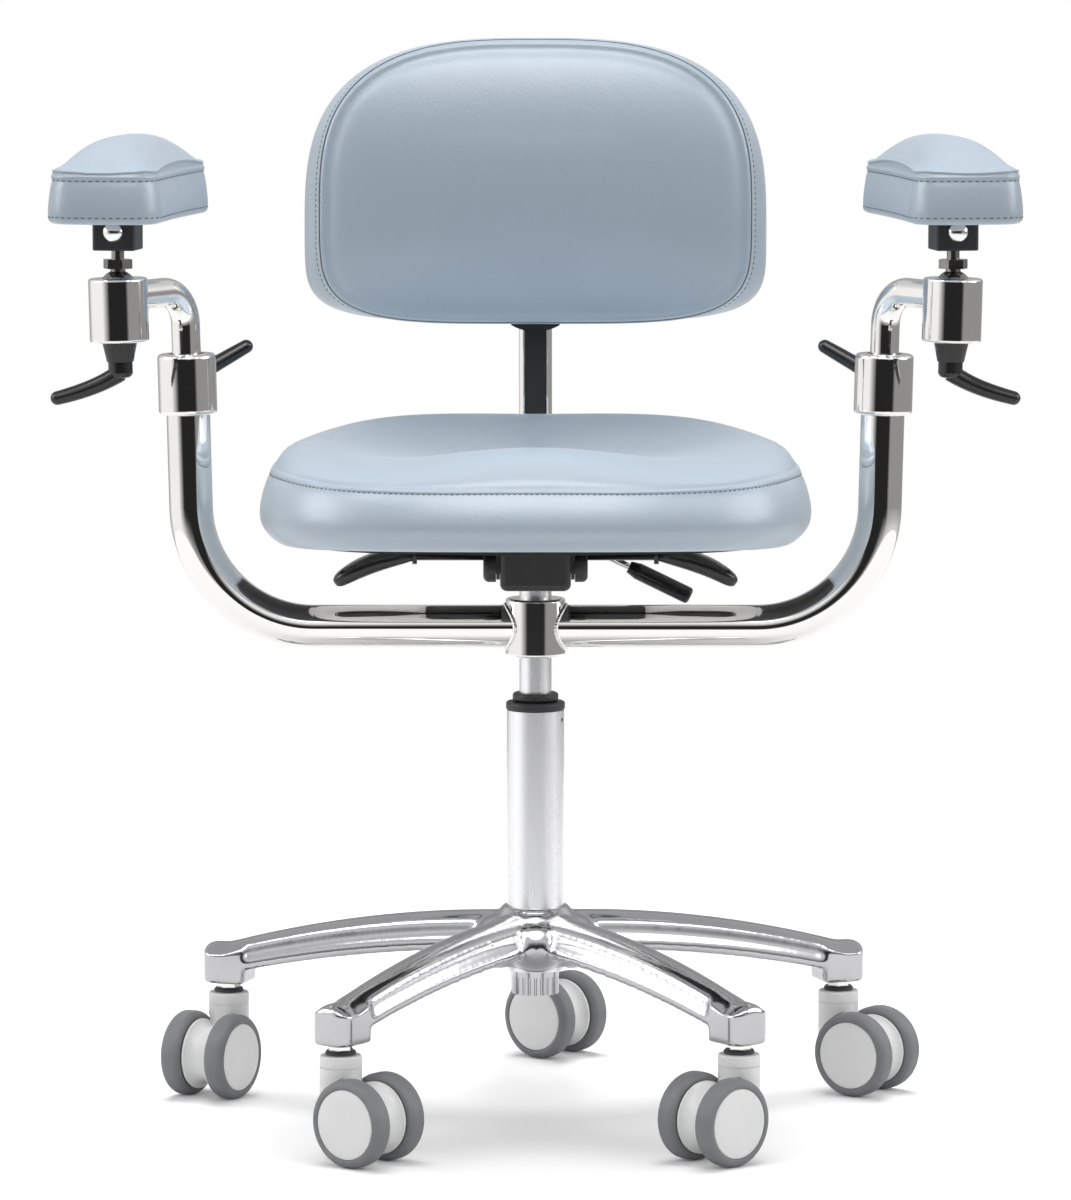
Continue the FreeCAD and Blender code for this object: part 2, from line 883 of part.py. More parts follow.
# Column and gas lift
def make_column():
    outer = size.column_radius
    inner = outer - size.column_wall
    hole = size.piston_rod_radius + size.piston_rod_play
    floor = size.column_bottom + size.column_floor
    tube_profile = [
        (hole, size.column_bottom),
        (outer, size.column_bottom),
        (outer, size.column_top),
        (inner, size.column_top),
        (inner, floor),
        (hole, floor),
    ]
    hole_at = (0, 0, size.column_top - size.column_hole_drop)
    hole_along = Vector(cosine(size.column_hole_turn).value, sine(size.column_hole_turn).value, 0)
    screw_hole = rod("column_hole", size.column_hole_radius, outer + 1, hole_at, hole_along)
    keep(cut("column_tube", turned("column_barrel", tube_profile), screw_hole))
    slide = size.lift_radius + size.running_gap
    start = size.column_top - size.guide_length
    rim = size.column_radius + size.guide_rim_lip
    rim_top = size.guide_rim_top
    guide_profile = [
        (slide, start),
        (inner, start),
        (inner, size.column_top),
        (rim, size.column_top),
        (rim, rim_top),
        (slide, rim_top),
    ]
    rim_corners = [(rim, size.column_top), (rim, rim_top)]
    keep(turned("column_guide", guide_profile, rim_corners, size.guide_rim_round))
    clear = size.lift_radius + size.clear_gap
    edge = size.buffer_radius
    top = size.buffer_top
    buffer_profile = [(clear, rim_top), (edge, rim_top), (edge, top), (clear, top)]
    keep(turned("buffer_ring", buffer_profile, [(edge, rim_top), (edge, top)], size.buffer_round))


def make_column_foot():
    """Ring under the hub, fluted round its edge."""
    inner = size.foot_radius - size.foot_wall
    ring_profile = [
        (inner, size.foot_bottom),
        (size.foot_radius, size.foot_bottom),
        (size.foot_radius, size.column_bottom),
        (inner, size.column_bottom),
    ]
    body = turned("column_foot", ring_profile)
    sketch = new_sketch(body, "flute_section", "XY_Plane", size.foot_bottom)
    centre = Vector(size.foot_radius.value, 0, 0)
    edge = sketch.addGeometry(Part.Circle(centre, UP, size.flute_radius.value))
    index = sketch.addConstraint(Sketcher.Constraint("Radius", edge, size.flute_radius.value))
    bind(sketch, f"Constraints[{index}]", size.flute_radius)
    pin(sketch, edge, 3, size.foot_radius, 0)
    flute = body.newObject("PartDesign::Pocket", "flute")
    flute.Profile = sketch
    flute.Reversed = True
    bind(flute, "Length", size.flute_length)
    doc.recompute()
    pattern = body.newObject("PartDesign::PolarPattern", "flutes")
    pattern.Originals = [flute]
    pattern.Axis = (sketch, ["N_Axis"])
    pattern.Angle = 360
    bind(pattern, "Occurrences", size.foot_flutes)
    body.Tip = pattern
    keep(body)


def make_gas_lift():
    rod_radius = size.piston_rod_radius
    floor = size.column_bottom + size.column_floor
    seat = floor + size.bearing_height
    rod_bore = rod_radius + size.running_gap
    edge = size.bearing_radius
    bearing_profile = [(rod_bore, floor), (edge, floor), (edge, seat), (rod_bore, seat)]
    keep(turned("thrust_bearing", bearing_profile, [(edge, seat)], size.bearing_round))
    bore = size.lift_radius - size.lift_wall
    piston = bore - size.running_gap
    piston_top = size.lift_bottom + size.piston_set
    piston_bottom = piston_top - size.piston_height
    tail = size.column_bottom - size.piston_rod_tail
    flange = rod_radius + size.piston_flange
    flange_top = seat + size.piston_flange
    rod_profile = [
        (0, tail),
        (rod_radius, tail),
        (rod_radius, seat),
        (flange, seat),
        (flange, flange_top),
        (rod_radius, flange_top),
        (rod_radius, piston_bottom),
        (piston, piston_bottom),
        (piston, piston_top),
        (0, piston_top),
    ]
    keep(turned("piston_rod", rod_profile))
    plug = size.lift_bottom + size.lift_plug
    roof = size.lift_top - size.lift_cap
    tube_profile = [
        (rod_bore, size.lift_bottom),
        (size.lift_radius, size.lift_bottom),
        (size.lift_radius, size.lift_top),
        (0, size.lift_top),
        (0, roof),
        (bore, roof),
        (bore, plug),
        (rod_bore, plug),
    ]
    keep(turned("lift_tube", tube_profile))


# Seat mechanism
def mechanism_half(name, bottom, top):
    half = size.mechanism_width / 2
    front = -size.mechanism_front
    rear = size.mechanism_rear
    outline = [(-half, front), (half, front), (half, rear), (-half, rear)]
    body = padded(name, "XY_Plane", outline, top - bottom, bottom)
    round_edges(body, name + "_corners", size.mechanism_corner, upright)
    return body


def make_mechanism():
    """Black tilt housing in two halves, split on the tilt axle, slotted at the rear for the back post."""
    split = size.mechanism_split
    bottom = size.mechanism_bottom
    half = size.mechanism_width / 2
    upper = mechanism_half("mechanism_case", split, size.mechanism_top)
    lower = mechanism_half("mechanism_tray", bottom, split)
    round_edges(lower, "tray_keel", size.mechanism_keel, flat_at(bottom.value))
    well = rod("lift_well", size.lift_radius, size.mechanism_top - bottom + 2, (0, 0, bottom - 1))
    slot_start = size.back_axle_set - size.post_depth
    slot_end = size.mechanism_rear + 1
    slot = block(
        "post_slot",
        size.post_width + size.clear_gap * 2,
        slot_end - slot_start,
        size.back_axle_level + size.post_depth - bottom + 1,
        (0, (slot_start + slot_end) / 2, bottom - 1),
    )
    across = size.mechanism_width + 2
    tilt_start = (-half - 1, -size.tilt_axle_set, split)
    tilt_bore = rod("tilt_bore", size.tilt_axle_radius, across, tilt_start, ALONG_X)
    lever_start = (-half - 1, -size.lever_shaft_set, size.lever_shaft_level)
    lever_bore = rod("lever_bore", size.lever_shaft_radius + size.running_gap, across, lever_start, ALONG_X)
    back_start = (half - size.lever_bite, size.back_lever_set, size.lever_shaft_level)
    back_radius = size.back_lever_radius + size.running_gap
    back_bore = rod("back_bore", back_radius, size.lever_bite + 1, back_start, ALONG_X)
    keep(cut("mechanism_housing", upper, well, slot, tilt_bore, lever_bore, back_bore))
    axle_length = size.mechanism_width - size.back_axle_short * 2
    axle_start = (-axle_length / 2, size.back_axle_set, size.back_axle_level)
    axle = keep(rod("back_axle", size.back_axle_radius, axle_length, axle_start, ALONG_X))
    keep(cut("mechanism_cover", lower, well, slot, tilt_bore, axle))


def make_tilt_axle():
    inner = size.mechanism_width / 2 + size.ear_thickness + size.clear_gap * 2
    outer = inner + size.axle_cap_length
    cap = size.axle_cap_radius
    shaft = size.tilt_axle_radius
    axle_profile = [
        (0, -outer),
        (cap, -outer),
        (cap, -inner),
        (shaft, -inner),
        (shaft, inner),
        (cap, inner),
        (cap, outer),
        (0, outer),
    ]
    axle = turned("tilt_axle", axle_profile, [(cap, -outer), (cap, outer)], size.axle_cap_round)
    keep(place(axle, (0, -size.tilt_axle_set, size.mechanism_split), Rotation(UP, ALONG_X)))


def rounded_box(half_width, half_height, corner):
    inset = corner * (1 - math.sqrt(0.5))
    points = []
    for side_x, side_y in ((1, -1), (1, 1), (-1, 1), (-1, -1)):
        along = (side_x * half_width, side_y * (half_height - corner))
        across = (side_x * (half_width - corner), side_y * half_height)
        middle = Via(side_x * (half_width - inset), side_y * (half_height - inset))
        points += [across, middle, along] if side_x * side_y < 0 else [along, middle, across]
    return points


def make_paddle():
    """Moulded lever blade that widens from its ring, then bends down to a thin rounded tip."""
    ring = size.lever_ring_reach.value
    length = size.lever_paddle_length.value
    drop = size.lever_paddle_drop.value
    width = size.lever_paddle_width.value / 2
    height = size.lever_paddle_height.value / 2
    wires = []
    # How far out and how far down each section is, then its width and height
    for share, fall, broad, tall in (
        (0, 0, 0.44, 1),
        (0.25, 0.08, 0.82, 1),
        (0.58, 0.35, 1, 0.89),
        (0.87, 0.78, 0.88, 0.71),
        (1, 1, 0.65, 0.51),
    ):
        points = rounded_box(width * broad, height * tall, height * tall * 0.8)
        reach = ring + length * share
        level = -drop * fall
        wires.append(outline_wire(points, lambda across, up: Vector(reach, across, level + up)))
    return shaped("lever_paddle", Part.makeLoft(wires, True))


def make_levers():
    start = size.mechanism_width / 2 - size.lever_bite
    ring_reach = size.lever_ring_reach
    ring_width = size.lever_ring_width
    shaft_length = ring_reach + ring_width - start
    shaft = rod("lever_shaft", size.lever_shaft_radius, shaft_length, (start, 0, 0), ALONG_X)
    ring_radius = size.lever_shaft_radius + size.lever_ring_wall
    ring = rod("lever_ring", ring_radius, ring_width, (ring_reach - ring_width, 0, 0), ALONG_X)
    lever = fuse("lever", shaft, ring, make_paddle())
    for name, turn in (("height_lever", 180), ("tilt_lever", 0)):
        at = (0, -size.lever_shaft_set, size.lever_shaft_level)
        keep(place(group(name, lever), at, Rotation(UP, turn)))


def make_back_lever():
    """Bent rod from the right of the housing, sloping down into its grip."""
    start = size.mechanism_width / 2 - size.lever_bite
    slope = size.back_lever_slope
    bend = size.back_lever_bend
    straight = size.lever_bite + size.back_lever_straight
    bend_x = straight + bend * sine(slope)
    bend_y = bend * cosine(slope) - bend
    end_x = bend_x + size.back_lever_length * cosine(slope)
    end_y = bend_y - size.back_lever_length * sine(slope)
    middle = Via(straight + bend * sine(slope / 2), bend * cosine(slope / 2) - bend)
    path = [(0, 0), (straight, 0), middle, (bend_x, bend_y), (end_x, end_y)]
    bar = swept("back_lever_rod", "YZ_Plane", "XZ_Plane", path, bar_section(size.back_lever_radius))
    keep(place(bar, (start, size.back_lever_set, size.lever_shaft_level)))
    grip = size.back_grip_radius
    bore = size.back_lever_radius
    length = size.back_grip_length
    depth = size.back_grip_bore
    grip_profile = [
        (bore, 0),
        ((bore + grip) / 2, 0),
        (grip, size.back_grip_taper),
        (grip, length),
        (0, length),
        (0, depth),
        (bore, depth),
    ]
    handle = turned("back_lever_grip", grip_profile, [(grip, length)], size.back_grip_round)
    root_x = start + end_x - depth * cosine(slope)
    root_z = size.lever_shaft_level + end_y + depth * sine(slope)
    along = Vector(cosine(slope).value, 0, -sine(slope).value)
    keep(place(handle, (root_x, size.back_lever_set, root_z), Rotation(UP, along)))


# Seat
def cushion_outline(half_width, half_depth, corner, bow, waist):
    """Rounded outline in plan: ends bowed outwards, sides drawn in by the waist, joined by corner arcs."""
    straight = half_depth - bow
    inset = corner * (1 - math.sqrt(0.5))
    points = []
    for side_x, side_y in ((1, -1), (1, 1), (-1, 1), (-1, -1)):
        along = (side_x * half_width, side_y * (straight - corner))
        across = (side_x * (half_width - corner), side_y * straight)
        middle = Via(side_x * (half_width - inset), side_y * (straight - inset))
        if side_x * side_y < 0:
            points += [Via(0, side_y * half_depth), across, middle, along]
        else:
            points += [Via(side_x * (half_width - waist), 0), along, middle, across]
    return points


def seat_outline(inset):
    return cushion_outline(
        size.seat_half_width - inset,
        size.seat_half_depth - inset,
        size.seat_corner - inset,
        size.seat_bow,
        -size.seat_side_bow,
    )


def plain(points):
    """The same outline as bare numbers."""
    numbers = []
    for point in points:
        spot = [sized(part).value for part in point]
        numbers.append(Via(*spot) if isinstance(point, Via) else tuple(spot))
    return numbers


def make_seat():
    thickness = size.seat_plate_thickness
    pan_bottom = size.seat_pan_bottom
    plate_bottom = size.seat_plate_bottom
    plate_side = size.seat_plate_half * 2
    plate_at = (0, size.seat_plate_set, plate_bottom)
    pieces = [block("seat_sheet", plate_side, plate_side, thickness, plate_at)]
    half = size.mechanism_width / 2 + size.clear_gap
    ear = size.ear_thickness
    ear_half = size.tilt_axle_radius + size.ear_wall
    axle_y = -size.tilt_axle_set
    axle_z = size.mechanism_split
    for name, near in (("left", -half - ear), ("right", half)):
        pieces.append(rod(f"ear_end_{name}", ear_half, ear, (near, axle_y, axle_z), ALONG_X))
        web_at = (near + ear / 2, axle_y, axle_z)
        pieces.append(block(f"ear_web_{name}", ear, ear_half * 2, plate_bottom - axle_z, web_at))
    bore_start = (-size.mechanism_width, axle_y, axle_z)
    bore_radius = size.tilt_axle_radius + size.running_gap
    bore = rod("ear_bore", bore_radius, size.mechanism_width * 2, bore_start, ALONG_X)
    keep(cut("seat_plate", fuse("seat_bracket", *pieces), bore))
    pan_outline = seat_outline(size.seat_pan_inset)
    pan = keep(padded("seat_pan", "XY_Plane", pan_outline, size.seat_pan_height, pan_bottom))
    doc.recompute()
    cushion = seat_cushion_shape().cut(pan.Shape)
    below = pan.Shape.translated(Vector(0, 0, -size.seat_recess.value - 1))
    keep(shaped("seat_cushion", cushion.cut(below)))


def seat_cushion_shape():
    """Saddle cushion: drawn-in sides, a raised front, thigh hollows, a dished middle and a raised rear."""
    width = size.seat_half_width.value
    depth = size.seat_half_depth.value
    bottom = size.seat_bottom.value
    seam = size.seat_seam.value
    rear = size.seat_rear_rim.value
    crest = seam + size.seat_crest_rise.value
    dish = seam + size.seat_dish_rise.value
    layers = ((bottom, 20), (bottom + 14, 6), (bottom + 34, 0), (seam, 1), (rear + 30, 4))
    walls = form_solid([(level, plain(seat_outline(inset))) for level, inset in layers], stacked)
    wide = width + 20
    inner = width * 0.34
    middle = width * 0.68
    sections = []
    for along, side, hollow, shoulder, centre in (
        (-depth - 25, seam - 17, seam - 17, seam - 9, seam - 4),
        (-depth * 0.5, seam - 14, seam + 3, crest - 9, crest),
        (0, seam - 16, dish - 2, dish - 1, dish + 1),
        (depth * 0.5, seam - 10, dish + 3, dish + 1, dish),
        (depth + 25, rear - 16, rear - 1, rear + 1, rear + 2),
    ):
        points = [
            (-wide, bottom - 10),
            (wide, bottom - 10),
            (wide, side),
            Via(middle, hollow),
            (inner, shoulder),
            Via(0, centre),
            (-inner, shoulder),
            Via(-middle, hollow),
            (-wide, side),
        ]
        sections.append((along, points))
    return walls.common(form_solid(sections, facing))


# Back rest
def flat_oval(body, name, role):
    half = size.post_width / 2
    thick = size.post_depth / 2
    outline = [
        (half - thick, -thick),
        Via(half, 0),
        (half - thick, thick),
        (thick - half, thick),
        Via(-half, 0),
        (thick - half, -thick),
    ]
    return draw(body, name, role, outline)


def make_back_post():
    """Flat-oval post: runs back from its pivot under the seat, bends up, with a strip let into its front."""
    bend = size.post_bend
    start = size.back_axle_set - size.post_nose
    run = size.post_set - start - bend
    rise = size.post_top - size.back_axle_level
    tuck = bend * (1 - math.sqrt(0.5))
    path = [(0, 0), (run, 0), Via(run + bend - tuck, tuck), (run + bend, bend), (run + bend, rise)]
    bar = swept("post_bar", "XZ_Plane", "YZ_Plane", path, flat_oval)
    place(bar, (0, start, size.back_axle_level))
    strip_bottom = size.back_axle_level + bend + size.strip_start
    strip_height = size.post_top - strip_bottom
    front = size.post_set - size.post_depth / 2
    groove_at = (0, front + size.strip_depth / 2 - 0.5, strip_bottom)
    groove = block("post_groove", size.strip_width, size.strip_depth + 1, strip_height + 1, groove_at)
    bore_start = (-size.post_width, size.back_axle_set, size.back_axle_level)
    bore_radius = size.back_axle_radius + size.running_gap
    bore = rod("post_bore", bore_radius, size.post_width * 2, bore_start, ALONG_X)
    keep(cut("back_post", bar, groove, bore))
    strip_at = (0, front + (size.strip_depth + size.strip_inset) / 2, strip_bottom)
    strip_depth = size.strip_depth - size.strip_inset
    keep(block("back_post_strip", size.strip_width, strip_depth, strip_height, strip_at))


def back_outline(inset):
    """Rounded D seen from the front: arched top, full lower corners, gently bowed bottom."""
    half = size.back_half_width.value - inset
    bottom = size.back_bottom.value + inset
    top = size.back_top.value - inset
    shoulder = top - 62
    hip = bottom + 66
    waist = (hip + shoulder) / 2
    return [
        (70 - half, bottom + 4),
        Via(0, bottom),
        (half - 70, bottom + 4),
        Via(half - 17, bottom + 22),
        (half, hip),
        Via(half - 2, waist),
        (half - 26, shoulder),
        Via(half - 54, shoulder + 33),
        (half - 116, top - 9),
        Via(0, top),
        (116 - half, top - 9),
        Via(54 - half, shoulder + 33),
        (26 - half, shoulder),
        Via(2 - half, waist),
        (-half, hip),
        Via(17 - half, bottom + 22),
    ]


def back_front_form(crown, behind):
    """The space behind the cushion's face: swollen in the middle, rolled back towards its edges."""
    wide = size.back_half_width.value + 20
    low = size.back_bottom.value
    tall = size.back_top.value - low
    sections = []
    for level, edge, centre in (
        (low - 20, crown + 36, crown + 20),
        (low + tall * 0.3, crown + 26, crown),
        (low + tall * 0.65, crown + 28, crown + 3),
        (low + tall + 20, crown + 44, crown + 30),
    ):
        points = [(-wide, behind), (wide, behind), (wide, edge), Via(0, centre), (-wide, edge)]
        sections.append((level, points))
    return form_solid(sections, stacked)


def make_back_rest():
    width = size.post_width + size.carriage_side * 2
    depth = size.post_depth + size.carriage_wall * 2
    bottom = size.carriage_bottom
    tall = size.carriage_top - bottom
    post_set = size.post_set
    solid = block("carriage_block", width, depth, tall, (0, post_set, bottom))
    nose = rod("carriage_nose", width, depth + 2, (0, post_set - depth / 2 - 1, bottom + width), ALONG_Y)
    upper = block("carriage_upper", width, depth + 2, tall - width + 1, (0, post_set, bottom + width))
    rounded = common("carriage_body", solid, fuse("carriage_form", nose, upper))
    slot_width = size.post_width + size.clear_gap * 2
    slot_depth = size.post_depth + size.clear_gap * 2
    slot = block("carriage_slot", slot_width, slot_depth, tall + 2, (0, post_set, bottom - 1))
    keep(cut("back_carriage", rounded, slot))
    rear = (post_set - depth / 2).value
    front = rear - size.back_shell_thickness.value
    crown = front - size.back_depth.value
    keep(shaped("back_shell", form_solid([(rear, back_outline(16)), (front, back_outline(5))], facing)))
    layers = ((front, 5), (front - 18, 0), (front - 44, 9), (crown + 10, 19), (crown - 20, 30))
    walls = form_solid([(along, back_outline(inset)) for along, inset in layers], facing)
    keep(shaped("back_cushion", walls.common(back_front_form(crown, front + 5))))


# Arm frame
def arm_place(side):
    """Top of an arm's bend, with Z along its leaning upright."""
    lean = size.arm_lean.value
    rise = size.arm_bend.value * (1 - math.sin(math.radians(lean)))
    spot = Vector(side * size.arm_reach.value, 0, size.arm_tube_level.value + rise)
    return Placement(spot, Rotation(ALONG_Y, side * lean))


def make_arm_sleeve():
    """Collar at the top of an arm upright, with a boss behind it for the clamp."""
    inner = size.bush_radius + size.running_gap
    outer = size.arm_collar_radius
    bottom = size.arm_collar_bottom
    top = size.arm_collar_top
    profile = [(inner, bottom), (outer, bottom), (outer, top), (inner, top)]
    collar = turned("arm_collar", profile, [(outer, bottom), (outer, top)], size.arm_collar_round)
    middle = (bottom + top) / 2
    reach = size.clamp_boss_reach
    boss_start = (inner + outer) / 2
    boss = rod("clamp_boss", size.clamp_boss_radius, reach - boss_start, (0, boss_start, middle), ALONG_Y)
    bore = rod("clamp_bore", size.clamp_stud_radius + size.running_gap, reach + 1, (0, 0, middle), ALONG_Y)
    return cut("arm_sleeve", fuse("arm_bossed_collar", collar, boss), bore)


def make_arm_frame():
    outer = size.arm_hub_radius
    bottom = size.arm_hub_bottom
    top = size.arm_hub_top
    hub_profile = [(size.lift_radius, bottom), (outer, bottom), (outer, top), (size.lift_radius, top)]
    keep(turned("arm_hub", hub_profile, [(outer, bottom), (outer, top)], size.arm_hub_round))
    angle = 90 - size.arm_lean
    bend = size.arm_bend
    run = size.arm_reach - bend * sine(angle)
    rise = bend - bend * cosine(angle)
    length = size.arm_collar_bottom + size.arm_collar_lap
    path = [
        (0, 0),
        (run, 0),
        Via(run + bend * sine(angle / 2), bend - bend * cosine(angle / 2)),
        (size.arm_reach, rise),
        (size.arm_reach + length * cosine(angle), rise + length * sine(angle)),
    ]
    section = tube_section(size.arm_tube_radius, size.arm_tube_wall)
    tube = place(swept("arm_bend_tube", "YZ_Plane", "XZ_Plane", path, section), (0, 0, size.arm_tube_level))
    arm = cut("arm_coped_tube", tube, rod("hub_saddle", outer, top))
    sleeve = make_arm_sleeve()
    bush_at = (0, 0, size.arm_collar_bottom)
    bush_space = rod("bush_space", size.bush_radius + size.running_gap, size.arm_collar_height, bush_at)
    for name, side in SIDES.items():
        turn = Rotation(UP, 90 - 90 * side)
        spot = arm_place(side)
        bent = copied(f"arm_bent_{name}", Placement(Vector(), turn), arm)
        joined = fuse(f"arm_joined_{name}", bent, copied(f"arm_sleeve_{name}", spot, sleeve))
        keep(cut(f"arm_tube_{name}", joined, copied(f"bush_space_{name}", spot, bush_space)))


# Clamp levers
def make_clamp_lever():
    """Clamp lever on its stud: a cone, a domed neck, and a tapering arm that rises to a round tip."""
    cone = size.clamp_cone_radius
    cone_height = size.clamp_cone_height
    neck = size.clamp_neck_radius
    top = cone_height + size.clamp_neck_height
    stud = size.clamp_stud_radius
    profile = [
        (0, -size.clamp_bite),
        (stud, -size.clamp_bite),
        (stud, size.clear_gap),
        (cone, size.clear_gap),
        (neck + size.clamp_neck_step, cone_height),
        (neck, cone_height),
        (neck, top),
        (0, top),
    ]
    hub = turned("clamp_hub", profile, [(neck, top)], size.clamp_neck_round)
    reach = size.clamp_reach.value
    low = cone_height + size.clamp_arm_rise
    climb = size.clamp_arm_climb.value
    thick = size.clamp_root_radius.value
    thin = size.clamp_tip_radius.value
    course = ((0, 0), (0.2, 0.3), (0.6, 0.72), (1, 1))
    spine = [Vector(reach * share, 0, low.value + climb * lift) for share, lift in course]
    wires = []
    for step, spot in enumerate(spine):
        heading = spine[min(step + 1, 3)] - spine[max(step - 1, 0)]
        wires.append(Part.Wire(Part.makeCircle(thick + (thin - thick) * step / 3, spot, heading)))
    arm = shaped("clamp_arm", Part.makeLoft(wires, True))
    tip = doc.addObject("Part::Sphere", "clamp_tip")
    bind(tip, "Radius", size.clamp_tip_radius)
    place(tip, (size.clamp_reach, 0, low + size.clamp_arm_climb))
    return fuse("clamp_lever", hub, arm, tip)


# Arm crank, ball joint and pad
def make_crank():
    """Bent tube that carries the barrel of the ball joint, standing on the crank's own axis."""
    bend = size.crank_bend
    rise = size.crank_level - size.crank_bottom
    tuck = bend * (1 - math.sqrt(0.5))
    path = [(0, 0), (0, rise - bend), Via(tuck, rise - tuck), (bend, rise), (size.crank_reach, rise)]
    section = tube_section(size.crank_radius, size.crank_wall)
    tube = place(swept("crank_tube", "XY_Plane", "XZ_Plane", path, section), (0, 0, size.crank_bottom))
    height = size.barrel_height
    outer = size.barrel_radius
    seat = size.ball_seat
    drop = size.ball_drop
    mouth = root(seat * seat - drop * drop)
    lip = root((seat * seat + seat * mouth) / 2)
    bore = size.clamp_stud_radius + size.running_gap
    profile = [
        (bore, 0),
        (outer, 0),
        (outer, height),
        (mouth, height),
        Via(lip, height - drop + root(seat * seat - lip * lip)),
        (seat, height - drop),
        (seat, size.barrel_floor),
        (bore, size.barrel_floor),
    ]
    at = (size.crank_reach, 0, size.barrel_bottom)
    barrel = place(turned("ball_barrel", profile, [(outer, 0), (outer, height)], size.barrel_round), at)
    saddle = rod("barrel_saddle", outer, height, at)
    return fuse("crank", cut("crank_coped_tube", tube, saddle), barrel)


def make_bush():
    inner = size.crank_radius + size.running_gap
    outer = size.bush_radius
    bottom = size.arm_collar_bottom
    top = size.arm_collar_top
    return turned("bush", [(inner, bottom), (outer, bottom), (outer, top), (inner, top)])


def make_cup():
    """Loose cup under the ball, standing on the barrel's foot."""
    seat = size.ball_seat
    centre = size.ball_level
    stop = size.cup_rim_drop
    floor = size.barrel_floor + size.cup_gap
    edge = seat - size.running_gap
    profile = [
        (0, floor),
        (edge, floor),
        (edge, centre - stop),
        (root(seat * seat - stop * stop), centre - stop),
        Via(seat / 2, centre - seat * cosine(30)),
        (0, centre - seat),
    ]
    return turned("cup", profile)


def make_stud():
    """Ball stud about the ball's centre, with the hexagon it is screwed up by."""
    ball = size.ball_radius
    neck = size.stud_radius + size.stud_neck_wall
    hex_bottom = size.stud_hex_bottom
    top = size.pad_block_bottom + size.stud_bite
    profile = [
        (0, -ball),
        Via(ball * sine(45), -ball * cosine(45)),
        (ball, 0),
        Via(ball * cosine(30), ball * sine(30)),
        (neck, root(ball * ball - neck * neck)),
        (neck, hex_bottom),
        (size.stud_radius, hex_bottom),
        (size.stud_radius, top),
        (0, top),
    ]
    nut = hexagon("stud_hex", size.stud_hex_flats, size.stud_hex_height, (0, 0, hex_bottom))
    return fuse("stud", turned("stud_ball", profile), nut)


def make_pad_block():
    """Block under the pad, bored for the stud."""
    half = size.pad_block_side / 2
    outline = [(-half, -half), (half, -half), (half, half), (-half, half)]
    body = padded("pad_foot", "XY_Plane", outline, size.pad_block_height)
    round_edges(body, "pad_foot_corners", size.pad_block_corner, upright)
    round_edges(body, "pad_foot_rim", size.pad_block_round, flat_at(0))
    depth = size.pad_block_height - size.pad_block_roof
    bore = rod("pad_bore", size.stud_radius + size.running_gap, depth, (0, 0, 0))
    return cut("pad_block", body, bore)


def pad_outline(inset):
    return plain(cushion_outline(
        size.pad_half_width - inset,
        size.pad_half_length - inset,
        size.pad_corner,
        size.pad_bow,
        size.pad_waist,
    ))


def pad_cushion_shape():
    """Arm pad: waisted sides, drawn in at the bottom, with a crowned top that falls to its ends."""
    edge = size.pad_half_width.value + 2
    length = size.pad_half_length.value
    wall = size.pad_wall.value
    crown = size.pad_crown.value
    layers = ((0, 5), (8, 0.5), (wall * 0.6, 0), (wall, 1), (wall + crown + 12, 3))
    walls = form_solid([(level, pad_outline(inset)) for level, inset in layers], stacked)
    sections = []
    for share, fall in ((-1.05, 0.62), (-0.6, 0.08), (0, 0), (0.6, 0.08), (1.05, 0.62)):
        side = wall - 5 - fall * 4
        centre = wall + crown * (1 - fall)
        points = [(-edge, -10), (edge, -10), (edge, side), Via(0, centre), (-edge, side)]
        sections.append((share * length, points))
    return walls.common(form_solid(sections, facing))


def make_arms():
    crank = make_crank()
    bush = make_bush()
    cup = make_cup()
    stud = make_stud()
    lever = make_clamp_lever()
    pad_block = make_pad_block()
    collar_middle = ((size.arm_collar_bottom + size.arm_collar_top) / 2).value
    block_level = size.pad_block_bottom.value
    pad_level = block_level + size.pad_block_height.value
    lift = math.radians(size.clamp_lift.value)
    for name, side in SIDES.items():
        arm = arm_place(side)
        keep(copied(f"arm_bush_{name}", arm, bush))
        inward = Vector(-side * math.cos(lift), 0, math.sin(lift))
        clamp_turn = Rotation(inward, Vector(), ALONG_Y, "ZXY")
        clamp_at = Placement(Vector(0, size.clamp_boss_reach.value, collar_middle), clamp_turn)
        keep(copied(f"height_clamp_{name}", arm.multiply(clamp_at), lever))
        swing = 90 * side - 90 - side * size.crank_swing.value
        crank_at = arm.multiply(Placement(Vector(), Rotation(UP, swing)))
        keep(copied(f"arm_crank_{name}", crank_at, crank))
        barrel_spot = Vector(size.crank_reach.value, 0, size.barrel_bottom.value)
        barrel = crank_at.multiply(Placement(barrel_spot, Rotation()))
        keep(copied(f"ball_cup_{name}", barrel, cup))
        hang = arm.Rotation.multiply(Rotation(UP, 90 - 90 * side)).multiply(Rotation(ALONG_X, 180))
        keep(copied(f"ball_lever_{name}", Placement(barrel.Base, hang), lever))
        centre = barrel.multVec(Vector(0, 0, size.ball_level.value))
        toe = Placement(centre, Rotation(UP, side * size.pad_toe.value))
        keep(copied(f"ball_stud_{name}", toe, stud))
        block_at = Placement(Vector(0, 0, block_level), Rotation())
        keep(copied(f"pad_block_{name}", toe.multiply(block_at), pad_block))
        pad_at = Placement(Vector(-side * size.pad_offset.value, 0, pad_level), Rotation())
        pad = keep(shaped(f"arm_pad_{name}", pad_cushion_shape()))
        pad.Placement = toe.multiply(pad_at)


make_base_star()
make_castors()
make_column()
make_column_foot()
make_gas_lift()
make_mechanism()
make_tilt_axle()
make_levers()
make_back_lever()
make_seat()
make_back_post()
make_back_rest()
make_arm_frame()
make_arms()
doc.recompute()

